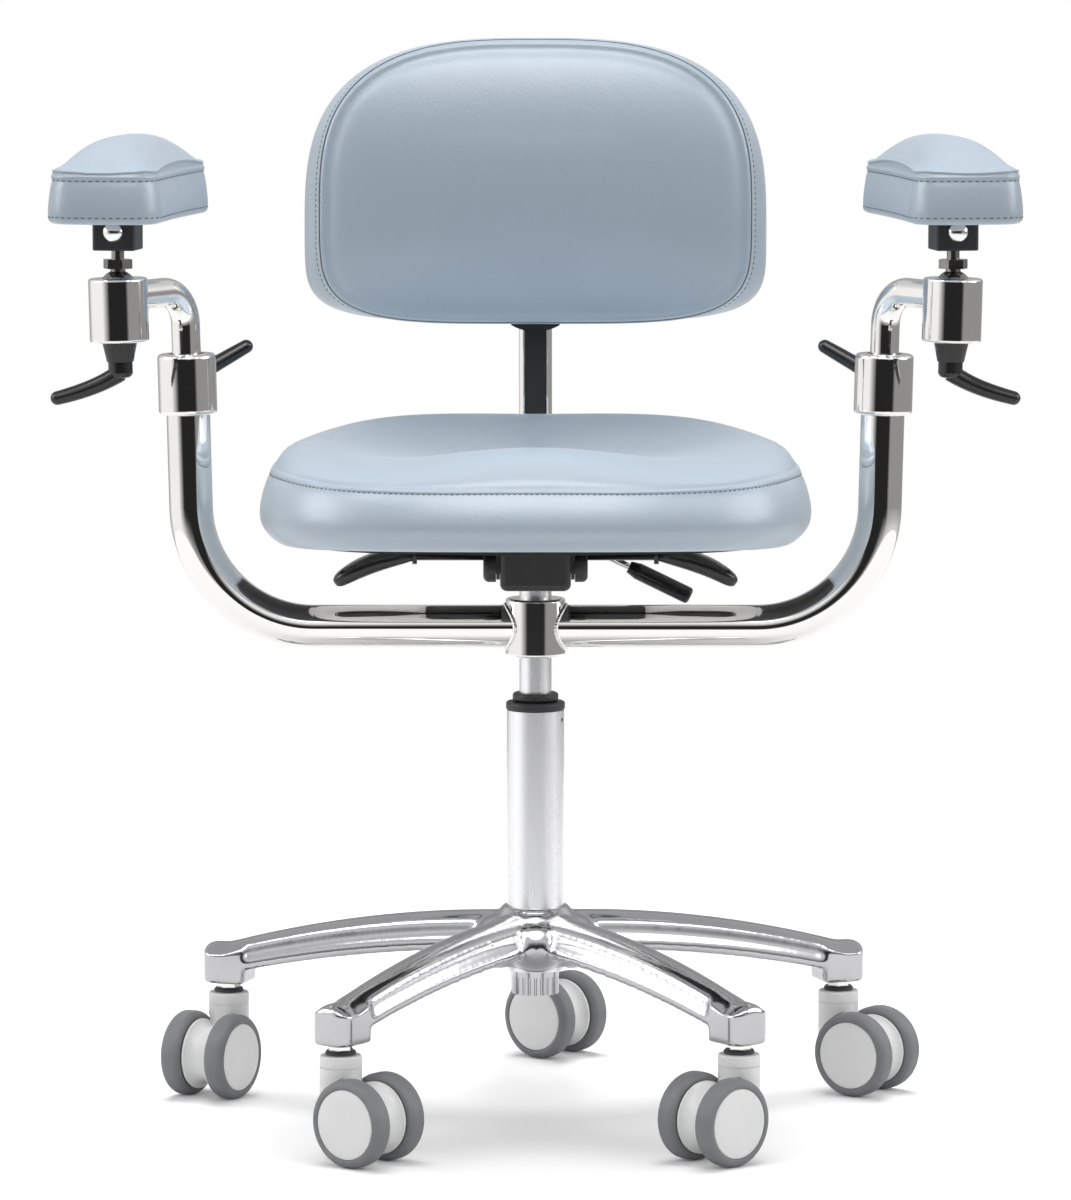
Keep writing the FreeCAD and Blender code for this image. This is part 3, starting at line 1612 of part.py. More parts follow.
# Every feature and every sub-part is checked before anything is written
for item in doc.Objects:
    if "Invalid" in item.State or "Error" in item.State:
        raise RuntimeError(f"{item.Label} could not be built")
for item in sub_parts:
    if item.Shape.isNull() or not item.Shape.isValid() or not item.Shape.Solids:
        raise RuntimeError(f"{item.Label} has no valid solid")
os.makedirs("parts", exist_ok=True)
for item in sub_parts:
    item.Shape.exportStep(f"parts/{item.Label}.step")
print(len(sub_parts), "sub-parts written")
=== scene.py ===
# %% [markdown]
# # A microscope chair, looks first
#
# The chair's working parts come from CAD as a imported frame: every tube, axle and clamp already sits in its place.
# Blender adds what CAD leaves plain. That is soft upholstery with its seams, polished and moulded finishes,
# and the small details that repeat. Everything is in metres, the sitter faces -Y and +Z is up.

# %% Load the frame
import json
import math
from contextlib import contextmanager

import bmesh
import bpy
import numpy as np
from mathutils import Matrix, Vector
from mathutils.bvhtree import BVHTree


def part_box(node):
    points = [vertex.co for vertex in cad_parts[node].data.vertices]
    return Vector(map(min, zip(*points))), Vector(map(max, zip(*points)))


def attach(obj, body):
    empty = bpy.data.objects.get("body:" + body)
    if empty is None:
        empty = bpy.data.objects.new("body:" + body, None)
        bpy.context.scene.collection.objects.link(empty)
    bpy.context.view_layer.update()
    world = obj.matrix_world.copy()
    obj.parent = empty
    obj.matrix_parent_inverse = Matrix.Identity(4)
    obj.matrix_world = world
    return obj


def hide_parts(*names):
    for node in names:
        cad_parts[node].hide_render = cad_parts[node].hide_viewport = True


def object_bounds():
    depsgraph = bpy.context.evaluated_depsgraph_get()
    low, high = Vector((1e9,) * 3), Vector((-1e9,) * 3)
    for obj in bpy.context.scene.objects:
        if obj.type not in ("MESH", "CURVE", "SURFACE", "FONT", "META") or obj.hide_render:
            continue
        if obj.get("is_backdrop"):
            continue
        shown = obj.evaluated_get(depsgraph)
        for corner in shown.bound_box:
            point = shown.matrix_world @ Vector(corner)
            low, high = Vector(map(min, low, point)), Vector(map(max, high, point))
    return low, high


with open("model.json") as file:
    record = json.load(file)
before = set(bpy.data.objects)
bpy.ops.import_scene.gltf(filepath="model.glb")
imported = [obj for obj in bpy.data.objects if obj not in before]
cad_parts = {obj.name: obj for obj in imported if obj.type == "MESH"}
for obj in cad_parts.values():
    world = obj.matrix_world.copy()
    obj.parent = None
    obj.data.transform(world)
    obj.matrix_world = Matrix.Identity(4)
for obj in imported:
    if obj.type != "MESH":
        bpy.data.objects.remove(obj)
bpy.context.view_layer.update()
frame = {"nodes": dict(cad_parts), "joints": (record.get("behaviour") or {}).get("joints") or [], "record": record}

MM = 0.001
SIDES = {"left": -1, "right": 1}
joints = {joint["name"]: joint for joint in frame["joints"]}

# %% [markdown]
# ## Camera and studio
#
# A long lens from almost six metres keeps both arms nearly the same size, as in the photograph. The studio is a
# pale disc of floor under wide soft lamps. Chrome only looks like chrome when it has something dark to reflect,
# so the world keeps a dark band behind the camera, and a few softboxes that put a sheen on leather and tubes.
# Camera rays never see them: they are there for mirrored rays alone.

# %% Camera
CAMERA_SPOT = (0, -5.7, 1.075)
CAMERA_PITCH = 6.26
FOCAL_PIXELS = 6568
IMAGE_HEIGHT = 1200
SENSOR = 36

camera_data = bpy.data.cameras.new("photo_camera")
camera_data.sensor_width = SENSOR
camera_data.lens = FOCAL_PIXELS * SENSOR / IMAGE_HEIGHT
camera = bpy.data.objects.new("photo_camera", camera_data)
camera.location = CAMERA_SPOT
camera.rotation_euler = (math.radians(90 - CAMERA_PITCH), 0, 0)
bpy.context.scene.collection.objects.link(camera)
bpy.context.scene.camera = camera
bpy.context.scene.view_settings.view_transform = "Standard"
print("lens", round(camera_data.lens, 1), "mm")


# %% Short ways to make and join nodes
class Nodes:
    """Adds nodes to one tree and joins them by socket name or number."""

    def __init__(self, tree):
        self.tree = tree

    def feed(self, socket, value):
        if isinstance(value, bpy.types.NodeSocket):
            self.tree.links.new(value, socket)
        else:
            socket.default_value = value

    def fill(self, node, inputs):
        for name, value in inputs.items():
            self.feed(node.inputs[name], value)
        return node

    def add(self, kind, inputs=None, **settings):
        node = self.tree.nodes.new(kind)
        for name, value in settings.items():
            setattr(node, name, value)
        return self.fill(node, inputs or {})

    def math(self, operation, *values):
        return self.add("ShaderNodeMath", dict(enumerate(values)), operation=operation).outputs[0]

    def mix(self, factor, first, second):
        """The first colour where the factor is 0, the second where it is 1."""
        inputs = {"Factor": factor, 6: first, 7: second}
        return self.add("ShaderNodeMix", inputs, data_type="RGBA").outputs[2]

    def ramp(self, value, *stops):
        """Smooth change between numbers: each stop is where it is and the grey it has."""
        node = self.add("ShaderNodeValToRGB", {"Fac": value})
        band = node.color_ramp
        while len(band.elements) < len(stops):
            band.elements.new(0.5)
        for element, (spot, grey) in zip(band.elements, stops):
            element.position = spot
            element.color = (grey, grey, grey, 1)
        return node.outputs["Color"]

    def rays(self):
        """The light path's outputs, and whether a ray comes from the camera, straight or through a clear thing."""
        path = self.add("ShaderNodeLightPath").outputs
        return path, self.math("MAXIMUM", path["Is Camera Ray"], path["Is Transmission Ray"])


# %% World: white to the camera, with a dark band and softboxes in reflections
WHITE = (1, 1, 1, 1)
DIFFUSE_LIGHT = 0.1
BAND_LEVELS = (0.33, 0), (0.44, 1), (0.56, 1), (0.68, 0)
BAND_BEHIND = (0.74, 0), (0.92, 1)
BAND_RIGHT = (0.15, 0), (0.5, 0.7)
CEILING = (0.68, 0), (0.85, 0.45)
REAR_WALL = (0.5, 0), (0.85, 0.6)
SHADE_DEPTH = 0.98
# Each direction has a power, the cosine at the softbox's edge, and the cosine from which it is full.
SOFTBOXES = {
    (0, -0.62, 0.785): (5.6, 0.905, 0.97),
    (-0.93, -0.1, 0.36): (4.4, 0.925, 0.975),
    (0.93, -0.1, 0.36): (4.4, 0.925, 0.975),
    (-0.55, -0.35, 0.76): (6.0, 0.984, 0.99),
    (0.6, -0.5, 0.62): (4.5, 0.984, 0.99),
}

world = bpy.data.worlds.new("studio")
bpy.context.scene.world = world
world.use_nodes = True
world.node_tree.nodes.clear()
sky = Nodes(world.node_tree)
direction = sky.add("ShaderNodeTexCoord").outputs["Generated"]
x, y, z = sky.add("ShaderNodeSeparateXYZ", {"Vector": direction}).outputs
level = sky.math("MULTIPLY_ADD", z, 0.5, 0.5)
rear = sky.math("MULTIPLY_ADD", y, -0.5, 0.5)
in_band = sky.ramp(level, *BAND_LEVELS)
shade = sky.math("MULTIPLY", in_band, sky.ramp(rear, *BAND_BEHIND))
shade = sky.math("MAXIMUM", shade, sky.math("MULTIPLY", in_band, sky.ramp(x, *BAND_RIGHT)))
shade = sky.math("MAXIMUM", shade, sky.ramp(level, *CEILING))
shade = sky.math("MAXIMUM", shade, sky.ramp(y, *REAR_WALL))
mirror = sky.math("SUBTRACT", 1.0, sky.math("MULTIPLY", shade, SHADE_DEPTH))
for way, (power, edge, full) in SOFTBOXES.items():
    facing = sky.add("ShaderNodeVectorMath", {0: direction, 1: way}, operation="DOT_PRODUCT")
    lit = sky.ramp(facing.outputs["Value"], (edge, 0), (full, 1))
    mirror = sky.math("MAXIMUM", mirror, sky.math("MULTIPLY", lit, power))
path, seen = sky.rays()
glossy = sky.math("MULTIPLY", path["Is Glossy Ray"], mirror)
plain = sky.math("SUBTRACT", 1.0, sky.math("MAXIMUM", seen, path["Is Glossy Ray"]))
soft = sky.math("MULTIPLY", plain, DIFFUSE_LIGHT)
strength = sky.math("ADD", sky.math("ADD", seen, glossy), soft)
background = sky.add("ShaderNodeBackground", {"Strength": strength, "Color": WHITE})
sky.add("ShaderNodeOutputWorld", {"Surface": background.outputs[0]})
print("world of", len(world.node_tree.nodes), "nodes")

# %% Lamps: a wide one overhead, a fill in front, one at each side, and one behind each side that lights the edges
# Each lamp has a power, a spread and a turn, both in degrees.
LAMPS = {
    "key_lamp": (2.5, 42, (-13, 0, 0)),
    "front_lamp": (0.55, 60, (52, 0, 0)),
    "left_lamp": (0.75, 50, (60, 0, -66)),
    "right_lamp": (0.85, 50, (60, 0, 62)),
    "left_rim_lamp": (0.9, 50, (70, 0, -128)),
    "right_rim_lamp": (0.8, 50, (70, 0, 128)),
}


def new_object(name, data):
    thing = bpy.data.objects.new(name, data)
    bpy.context.scene.collection.objects.link(thing)
    return thing


for name, (power, spread, turn) in LAMPS.items():
    lamp_data = bpy.data.lights.new(name, "SUN")
    lamp_data.energy = power
    lamp_data.angle = math.radians(spread)
    lamp = new_object(name, lamp_data)
    lamp.rotation_euler = [math.radians(angle) for angle in turn]
    lamp.visible_glossy = False
print(len(LAMPS), "lamps")

# %% Floor: white where it is looked at, a little greyer in mirrors and in the light that it throws back
FLOOR_RADIUS = 2.2
FLOOR_MIRRORED = (0.8, 0.8, 0.8, 1)
FLOOR_BOUNCE = (0.25, 0.9), (0.75, 0.25)
FLOOR_GLOW = 0.06


def new_material(name):
    """A material with a bare Principled BSDF, and the helper that adds to it."""
    material = bpy.data.materials.new(name)
    material.use_nodes = True
    shader = next(node for node in material.node_tree.nodes if node.type == "BSDF_PRINCIPLED")
    return material, Nodes(material.node_tree), shader


@contextmanager
def edited(*meshes):
    """Some meshes as one bmesh for the length of a with block, written to the last of them at its end."""
    work = bmesh.new()
    for mesh in meshes:
        work.from_mesh(mesh)
    yield work
    work.to_mesh(meshes[-1])
    work.free()


floor_material, nodes, shader = new_material("studio_floor")
path, seen = nodes.rays()
spot = nodes.add("ShaderNodeTexCoord").outputs["Object"]
away = nodes.add("ShaderNodeVectorMath", {0: spot}, operation="LENGTH").outputs["Value"]
bounce = nodes.ramp(nodes.math("DIVIDE", away, FLOOR_RADIUS), *FLOOR_BOUNCE)
unseen = nodes.mix(path["Is Glossy Ray"], bounce, FLOOR_MIRRORED)
nodes.fill(shader, {
    "Base Color": nodes.mix(seen, unseen, WHITE),
    "Emission Color": WHITE,
    "Emission Strength": nodes.math("MULTIPLY", seen, FLOOR_GLOW),
    "Roughness": 0.9,
    "Specular IOR Level": 0.0,
})
floor_mesh = bpy.data.meshes.new("studio_floor")
with edited(floor_mesh) as disc:
    bmesh.ops.create_circle(disc, cap_ends=True, segments=96, radius=FLOOR_RADIUS)
floor_mesh.materials.append(floor_material)
new_object("studio_floor", floor_mesh)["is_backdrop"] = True
print("floor", FLOOR_RADIUS, "m")

# %% [markdown]
# ## Finishes
#
# Each finish is a Principled BSDF fed by small shared node groups. One group makes uneven tone and gloss, as on any
# handled surface. The other makes the pebbled grain of artificial leather out of a Voronoi texture. Numbers that
# are the same all over stay on the shader itself.


# %% Shared effect: uneven tone and gloss
def new_group(name, inputs, outputs, kind="ShaderNodeTree"):
    """A node group from rows of socket name, socket kind and, where one is needed, a default."""
    group = bpy.data.node_groups.new(name, kind)
    for in_out, rows in (("INPUT", inputs), ("OUTPUT", outputs)):
        for socket, socket_kind, *default in rows:
            made = group.interface.new_socket(socket, in_out=in_out, socket_type="NodeSocket" + socket_kind)
            if default:
                made.default_value = default[0]
    nodes = Nodes(group)
    return group, nodes, nodes.add("NodeGroupInput").outputs, nodes.add("NodeGroupOutput")


NOISE_LOW, NOISE_HIGH = 0.3, 0.7
FINE_SHARE, PATCH_SHARE = 0.35, 0.65

uneven, nodes, given, result = new_group(
    "uneven_finish",
    [
        ("Tone", "Color"), ("Second tone", "Color"), ("Patch scale", "Float"), ("Fine scale", "Float"),
        ("Gloss low", "Float"), ("Gloss high", "Float"), ("Stretch", "Vector"),
    ],
    [("Colour", "Color"), ("Roughness", "Float"), ("Height", "Float")],
)
spot = nodes.add("ShaderNodeTexCoord").outputs["Object"]
spot = nodes.add("ShaderNodeVectorMath", {0: spot, 1: given["Stretch"]}, operation="MULTIPLY").outputs[0]
patches, fine = [
    nodes.add("ShaderNodeTexNoise", {"Vector": spot, "Scale": given[scale], "Detail": detail}).outputs["Fac"]
    for scale, detail in (("Patch scale", 4.0), ("Fine scale", 2.0))
]
blend = nodes.math("MULTIPLY_ADD", fine, FINE_SHARE, nodes.math("MULTIPLY", patches, PATCH_SHARE))
gloss = nodes.add("ShaderNodeMapRange", {
    "Value": blend,
    "From Min": NOISE_LOW, "From Max": NOISE_HIGH,
    "To Min": given["Gloss low"], "To Max": given["Gloss high"],
})
in_patch = nodes.ramp(patches, (NOISE_LOW, 0), (NOISE_HIGH, 1))
nodes.fill(result, {
    "Colour": nodes.mix(in_patch, given["Tone"], given["Second tone"]),
    "Roughness": gloss.outputs["Result"],
    "Height": fine,
})
print("uneven_finish:", len(uneven.nodes), "nodes")

# %% Shared effect: pebbled leather grain
CREASE_DEPTH, PEBBLE_DEPTH = 0.9, 0.5

grain, nodes, given, result = new_group(
    "leather_grain",
    [("Pebble scale", "Float", 900.0), ("Crease scale", "Float", 160.0)],
    [("Height", "Float")],
)
spot = nodes.add("ShaderNodeTexCoord").outputs["Object"]
creases = nodes.add("ShaderNodeTexNoise", {"Vector": spot, "Scale": given["Crease scale"], "Detail": 3.0})
pebbles = nodes.add(
    "ShaderNodeTexVoronoi", {"Vector": spot, "Scale": given["Pebble scale"], "Smoothness": 0.6}, feature="SMOOTH_F1",
)
rounded = nodes.math("MULTIPLY", nodes.math("SUBTRACT", 1.0, pebbles.outputs["Distance"]), PEBBLE_DEPTH)
nodes.feed(result.inputs["Height"], nodes.math("MULTIPLY_ADD", creases.outputs["Fac"], CREASE_DEPTH, rounded))
print("leather_grain:", len(grain.nodes), "nodes")

# %% Finish maker
looks = {}


def make_look(name, tone, second, patch, fine, gloss, bump, stretch=(1, 1, 1), pebbled=0.0, **constants):
    """A finish of two tones, the scales of its patches and fine relief, its gloss from and to, and the relief in mm.

    Where pebbled is not 0, it is the strength of the leather grain, which takes the place of the fine relief. The
    other values go to the shader's inputs of that name.
    """
    material, nodes, shader = new_material(name)
    group = nodes.add("ShaderNodeGroup", {
        "Tone": (*tone, 1), "Second tone": (*second, 1), "Patch scale": patch, "Fine scale": fine,
        "Gloss low": gloss[0], "Gloss high": gloss[1], "Stretch": stretch,
    }, node_tree=uneven)
    nodes.fill(shader, {"Base Color": group.outputs["Colour"], "Roughness": group.outputs["Roughness"]})
    if bump:
        relief = nodes.add("ShaderNodeGroup", node_tree=grain) if pebbled else group
        height = {"Height": relief.outputs["Height"], "Strength": pebbled or 1.0, "Distance": bump * MM}
        nodes.feed(shader.inputs["Normal"], nodes.add("ShaderNodeBump", height).outputs["Normal"])
    nodes.fill(shader, {socket.replace("_", " "): value for socket, value in constants.items()})
    looks[name] = material


# %% Metals
METALS = {
    "chrome": ((0.88, 0.87, 0.85), (0.84, 0.83, 0.81), 14, 300, (0.03, 0.07), 0),
    "satin_steel": ((0.86, 0.865, 0.875), (0.81, 0.815, 0.825), 60, 700, (0.25, 0.32), 0.002, (1, 1, 0.1)),
    "cast_aluminium": ((0.56, 0.56, 0.57), (0.51, 0.51, 0.52), 22, 700, (0.09, 0.16), 0.003),
    "inner_steel": ((0.45, 0.45, 0.46), (0.38, 0.38, 0.39), 30, 600, (0.3, 0.45), 0.01),
    "stud_steel": ((0.33, 0.32, 0.30), (0.27, 0.26, 0.25), 60, 500, (0.12, 0.22), 0.004),
}
for name, values in METALS.items():
    make_look(name, *values, Metallic=1.0)
print("metals:", *METALS)

# %% Plastics, rubber, thread and lining
DULL = {
    "black_plastic": ((0.018, 0.018, 0.019), (0.026, 0.026, 0.028), 30, 1100, (0.38, 0.52), 0.03),
    "gloss_black": ((0.012, 0.012, 0.013), (0.017, 0.017, 0.018), 25, 500, (0.14, 0.24), 0.006),
    "castor_grey": ((0.77, 0.77, 0.765), (0.735, 0.735, 0.73), 25, 1400, (0.34, 0.46), 0.02),
    "tyre_grey": ((0.185, 0.19, 0.196), (0.16, 0.165, 0.17), 40, 900, (0.5, 0.66), 0.03),
    # The stitch thread is painted dark: painted shade of the stitch holes, on thread that is as pale as the leather.
    "sewing_thread": ((0.10, 0.125, 0.15), (0.075, 0.095, 0.115), 60, 1800, (0.5, 0.7), 0.05),
    # The seam cord is painted shade: a dark line that stands for the shadow in the seam's groove.
    "seam_shade": ((0.13, 0.16, 0.19), (0.10, 0.125, 0.15), 60, 1200, (0.5, 0.7), 0.02),
    "lining_cloth": ((0.80, 0.80, 0.79), (0.74, 0.74, 0.73), 40, 1500, (0.75, 0.92), 0.06),
}
for name, values in DULL.items():
    make_look(name, *values)
print("dull finishes:", *DULL)

# %% Leather
make_look(
    "pale_leather", (0.47, 0.555, 0.64), (0.445, 0.53, 0.612), 9, 700, (0.27, 0.36), 0.32, pebbled=0.6,
    Specular_IOR_Level=1.0, Sheen_Weight=0.12, Sheen_Roughness=0.4,
)
leather = looks["pale_leather"]
print(len(looks), "finishes")

# %% Dress the CAD pieces by their record slots
for row in frame["record"]["subparts"]:
    look = {"upholstery": "pale_leather"}.get(row["material_slot"], row["material_slot"])
    if row["node"].startswith("ball_stud"):
        look = "stud_steel"
    for material_slot in frame["nodes"][row["node"]].material_slots:
        material_slot.material = looks[look]
print("dressed", len(frame["nodes"]), "nodes")


# %% [markdown]
# ## Cast base
#
# The star is one polished aluminium casting, so no edge on it is sharp and each leg flows into the hub. CAD
# gives exact arches and sockets with crisp edges. A voxel remesh of a copy, followed by smoothing, rounds all edges by
# a few millimetres, much as a foundry pattern and a polishing wheel do. Before that, a lump thickens each fork
# between two legs. In between, the tops of the castor sockets are filed to the curve of the legs.


# %% Mesh tools
JOIN_DISTANCE = 0.005 * MM


def plain_mesh(thing, name):
    """The object's shape with its modifiers worked in, as a new mesh."""
    graph = bpy.context.evaluated_depsgraph_get()
    mesh = bpy.data.meshes.new_from_object(thing.evaluated_get(graph))
    mesh.name = name
    return mesh


def finished(name, rough):
    """A rough object's shape as a new plain object, which takes its place."""
    done = new_object(name, plain_mesh(rough, name))
    bpy.data.objects.remove(rough)
    return done


def with_modifier(name, mesh, kind, **settings):
    """A finished smooth object made from a mesh and one modifier."""
    rough = new_object(name + "_rough", mesh)
    modifier = rough.modifiers.new(kind.lower(), kind)
    for key, value in settings.items():
        setattr(modifier, key, value)
    done = finished(name, rough)
    done.data.shade_smooth()
    return done


def cad_copy(node):
    """A CAD node's mesh with its loose triangles joined."""
    mesh = frame["nodes"][node].data.copy()
    with edited(mesh) as work:
        bmesh.ops.remove_doubles(work, verts=work.verts, dist=JOIN_DISTANCE)
    return mesh


def dress(thing, material, body, slot, *nodes):
    """Sets a finished piece's material and body, and hides the CAD nodes that it stands for. The slot is not used."""
    if material:
        thing.data.materials.clear()
        thing.data.materials.append(material)
    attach(thing, body)
    if nodes:
        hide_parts(*nodes)
    return thing


def smooth_step(value, low, high):
    share = np.clip((value - low) / (high - low), 0, 1)
    return share * share * (3 - 2 * share)


print("mesh tools ready")

# %% Star
LEG_ENDS = [
    Vector(joint["pos_m"]).xy for name, joint in joints.items() if name.endswith("_swivel") and "castor" in name
]
RIDGE_TIP, RIDGE_RISE = 135.2, 41.5
RIDGE_HALF, RIDGE_FALL = 15, 7
NOSE_START, NOSE_LENGTH, NOSE_FALL = 2, 18, 4
SOCKET_REACH, FILED_FROM, FILED_FULLY = 26, 46, 22
SADDLE_REACH, SADDLE_LEVEL, SADDLE_SIZE = 34 * MM, 150 * MM, (22 * MM, 26 * MM, 24 * MM)
STAR_VOXEL, STAR_SMOOTHING = 1.8 * MM, 26


def with_saddles(mesh):
    """Adds a rounded lump in each fork between two legs, where the casting is thicker."""
    turns = sorted(math.atan2(end.y, end.x) for end in LEG_ENDS)
    lump = Matrix.Translation((SADDLE_REACH, 0, SADDLE_LEVEL)) @ Matrix.Diagonal((*SADDLE_SIZE, 1))
    with edited(mesh) as work:
        for turn in turns:
            place = Matrix.Rotation(turn + math.pi / len(turns), 4, "Z") @ lump
            bmesh.ops.create_uvsphere(work, u_segments=24, v_segments=16, radius=1, matrix=place)
    return mesh


def with_round_sockets(mesh):
    """Files the tops of the castor sockets so that the leg's ridge runs on over them to a rounded nose."""
    points = np.array([vertex.co for vertex in mesh.vertices])
    for end in LEG_ENDS:
        ahead = np.array(end.normalized())
        along = points[:, :2] @ ahead / MM
        across = np.abs(points[:, 0] * ahead[1] - points[:, 1] * ahead[0]) / MM
        tip = end.length / MM
        ridge = RIDGE_TIP + RIDGE_RISE * (1 - np.clip(along / tip, 0, 1) ** 2)
        nose = np.clip((along - tip - NOSE_START) / NOSE_LENGTH, 0, 1)
        dome = ridge - RIDGE_FALL * (across / RIDGE_HALF) ** 2 - NOSE_FALL * nose ** 4
        proud = np.where(across < SOCKET_REACH, np.clip(points[:, 2] / MM - dome, 0, None), 0)
        points[:, 2] -= proud * smooth_step(along, tip - FILED_FROM, tip - FILED_FULLY) * MM
    mesh.vertices.foreach_set("co", points.ravel())
    return mesh


lumpy = with_saddles(cad_copy("base_star"))
star = with_modifier("rough_star", lumpy, "REMESH", mode="VOXEL", voxel_size=STAR_VOXEL)
star_mesh = with_round_sockets(star.data)
bpy.data.objects.remove(star)
star = with_modifier("cast_star", star_mesh, "SMOOTH", factor=0.5, iterations=STAR_SMOOTHING)
dress(star, looks["cast_aluminium"], "base", "cast_aluminium", "base_star")
print("star:", len(star.data.polygons), "faces")

# %% [markdown]
# ## Castor wheels
#
# A castor wheel is a turned shape: a light disc pressed into a soft grey tread. One profile swept round an axis gives
# both, with the finish changing where the tread begins. The joints in the frame say where each axle is.


# %% Lathe
def new_mesh(name, points, faces=()):
    mesh = bpy.data.meshes.new(name)
    mesh.from_pydata(np.asarray(points).tolist(), [], [tuple(map(int, face)) for face in faces])
    return mesh


def lathe(name, profile, steps, matrix, finishes):
    """A mesh turned about Z from (radius, height, finish number) rows in mm, then set in place."""
    rings = []
    vertices = []
    for radius, height, _ in profile:
        count = steps if radius else 1
        rings.append(range(len(vertices), len(vertices) + count))
        for step in range(count):
            angle = 2 * math.pi * step / steps
            vertices.append((radius * MM * math.cos(angle), radius * MM * math.sin(angle), height * MM))
    faces = []
    numbers = []
    for low, high, row in zip(rings, rings[1:], profile):
        for step in range(steps):
            after = (step + 1) % steps
            corners = [low[step % len(low)], low[after % len(low)], high[after % len(high)], high[step % len(high)]]
            faces.append(list(dict.fromkeys(corners)))
            numbers.append(row[2])
    mesh = new_mesh(name, vertices, faces)
    mesh.transform(matrix)
    mesh.polygons.foreach_set("material_index", numbers)
    for finish in finishes:
        mesh.materials.append(finish)
    mesh.shade_smooth()
    return mesh


def arc(centre, radius, start, end, steps, finish):
    """Rows of a lathe profile along an arc, angles in degrees from the radius direction."""
    turns = np.radians(np.linspace(start, end, steps + 1))
    return [(centre[0] + radius * math.cos(turn), centre[1] + radius * math.sin(turn), finish) for turn in turns]


# %% Wheels
WHEEL_RADIUS, WHEEL_WIDTH, WHEEL_GAP = 37.5, 20, 24
BORE, BORE_DEPTH, BOSS, RECESS = 5.1, 16, 10, 2
RIM, RIM_START = 29.5, 1
TREAD_ROUND, DISC_ROUND, GROOVE = 6, 0.8, 0.5
WHEEL_STEPS = 96
DISC, TREAD = 0, 1

inner_rim = WHEEL_RADIUS - TREAD_ROUND
wheel_profile = [
    (BORE, BORE_DEPTH, DISC), (BORE, 0, DISC), (BOSS, 0, DISC), (BOSS, RECESS, DISC),
    (RIM, RECESS, TREAD), (RIM + 0.5, RIM_START, TREAD),
    *arc((inner_rim, RIM_START + TREAD_ROUND), TREAD_ROUND, -90, 0, 8, TREAD),
    *arc((inner_rim, WHEEL_WIDTH - TREAD_ROUND), TREAD_ROUND, 0, 90, 8, TREAD),
    (RIM + 0.9, WHEEL_WIDTH, TREAD), (RIM + GROOVE, WHEEL_WIDTH - GROOVE, TREAD),
    (RIM + 0.1, WHEEL_WIDTH - 1.6, DISC),
    *arc((RIM - DISC_ROUND, WHEEL_WIDTH - DISC_ROUND - 0.2), DISC_ROUND, 0, 80, 4, DISC),
    (22, WHEEL_WIDTH + 0.25, DISC), (12, WHEEL_WIDTH + 0.6, DISC), (0, WHEEL_WIDTH + 0.75, DISC),
]
rolling = [joint for name, joint in joints.items() if "_roll_" in name]
for joint in rolling:
    body = joint["child"]
    outward = Vector(joint["axis"]) * SIDES[body.rsplit("_", 1)[1]]
    spot = Vector(joint["pos_m"]) + outward * WHEEL_GAP / 2 * MM
    place = Matrix.Translation(spot) @ outward.to_track_quat("Z", "Y").to_matrix().to_4x4()
    finishes = [looks["castor_grey"], looks["tyre_grey"]]
    wheel = new_object(body + "_look", lathe(body + "_look", wheel_profile, WHEEL_STEPS, place, finishes))
    dress(wheel, None, body, "castor_grey", body)
print(len(rolling), "wheels of", len(wheel.data.polygons), "faces")

# %% [markdown]
# ## Upholstery
#
# A cushion is a top panel and a side band sewn together along a seam. Its mesh is laid out the way it is sewn: rings
# follow the seam, and the middle is a square grid, so that no ring shrinks to a pole. Then a short cloth
# simulation blows air into it while the seams are pinned. The panels swell and the seams stay tight, which is
# what foam does under a sewn cover.

# %% Outlines
QUARTER = 40
EGG_STEPS = 4000
CLOSER = 8


def evenly(line, count):
    """Points an even distance apart along an open line, without its last one."""
    reach = np.r_[0, np.cumsum(np.linalg.norm(np.diff(line, axis=0), axis=1))]
    wanted = np.linspace(0, reach[-1], count + 1)[:-1]
    return np.stack([np.interp(wanted, reach, line[:, axis]) for axis in range(line.shape[1])], 1)


def closed(upper, lower):
    """A closed outline from the +X axis round, made of a quarter line for its upper half and one for its lower."""
    return np.concatenate([
        evenly(upper, QUARTER),
        evenly((upper * (-1, 1))[::-1], QUARTER),
        evenly(lower * (-1, -1), QUARTER),
        evenly((lower * (1, -1))[::-1], QUARTER),
    ])


def egg_quarter(half, reach, power):
    """A quarter of a superellipse: a higher power is squarer."""
    angle = np.linspace(0, math.pi / 2, EGG_STEPS)
    return np.stack([half * np.cos(angle) ** (2 / power), reach * np.sin(angle) ** (2 / power)], 1)


def ways_along(line):
    """The way along a closed line at each of its points."""
    return np.roll(line, -1, 0) - np.roll(line, 1, 0)


def unit(ways):
    return ways / np.linalg.norm(ways, axis=1)[:, None]


def drawn_in(outline, amount):
    """The outline moved inwards, by one amount or by an amount for each point."""
    ahead = unit(ways_along(outline))
    inward = np.stack([-ahead[:, 1], ahead[:, 0]], 1)
    return outline + inward * np.broadcast_to(amount, len(outline))[:, None]


def closer(values):
    """Values of a closed line with seven more between each two."""
    after = np.roll(values, -1, 0)
    return np.concatenate([values + (after - values) * step / CLOSER for step in range(CLOSER)])


def off_edge(points, outline):
    """How far each point is from the outline, and the number of the nearest of its closer points."""
    away = np.linalg.norm(points[:, None] - closer(outline)[None], axis=2)
    near = away.argmin(1)
    return away[np.arange(len(points)), near], near


# %% Panels
SEAM_LOOPS, BASE_LOOPS = (1.2, 3, 7), (3, 8)
TOP_RINGS, PAD_RINGS, BASE_RINGS = 7, 5, 3
CORE, CORE_ROUND = 0.55, 0.3


def over_outline(outline, spots):
    """Spots of a unit disc, spread over the outline."""
    total = len(outline)
    reach = np.hypot(spots[:, 0], spots[:, 1])
    turn = np.mod(np.arctan2(spots[:, 1], spots[:, 0]) / (2 * math.pi) * total, total)
    first = np.floor(turn).astype(int) % total
    share = (turn - np.floor(turn))[:, None]
    edge = outline[first] * (1 - share) + outline[(first + 1) % total] * share
    return edge * reach[:, None]


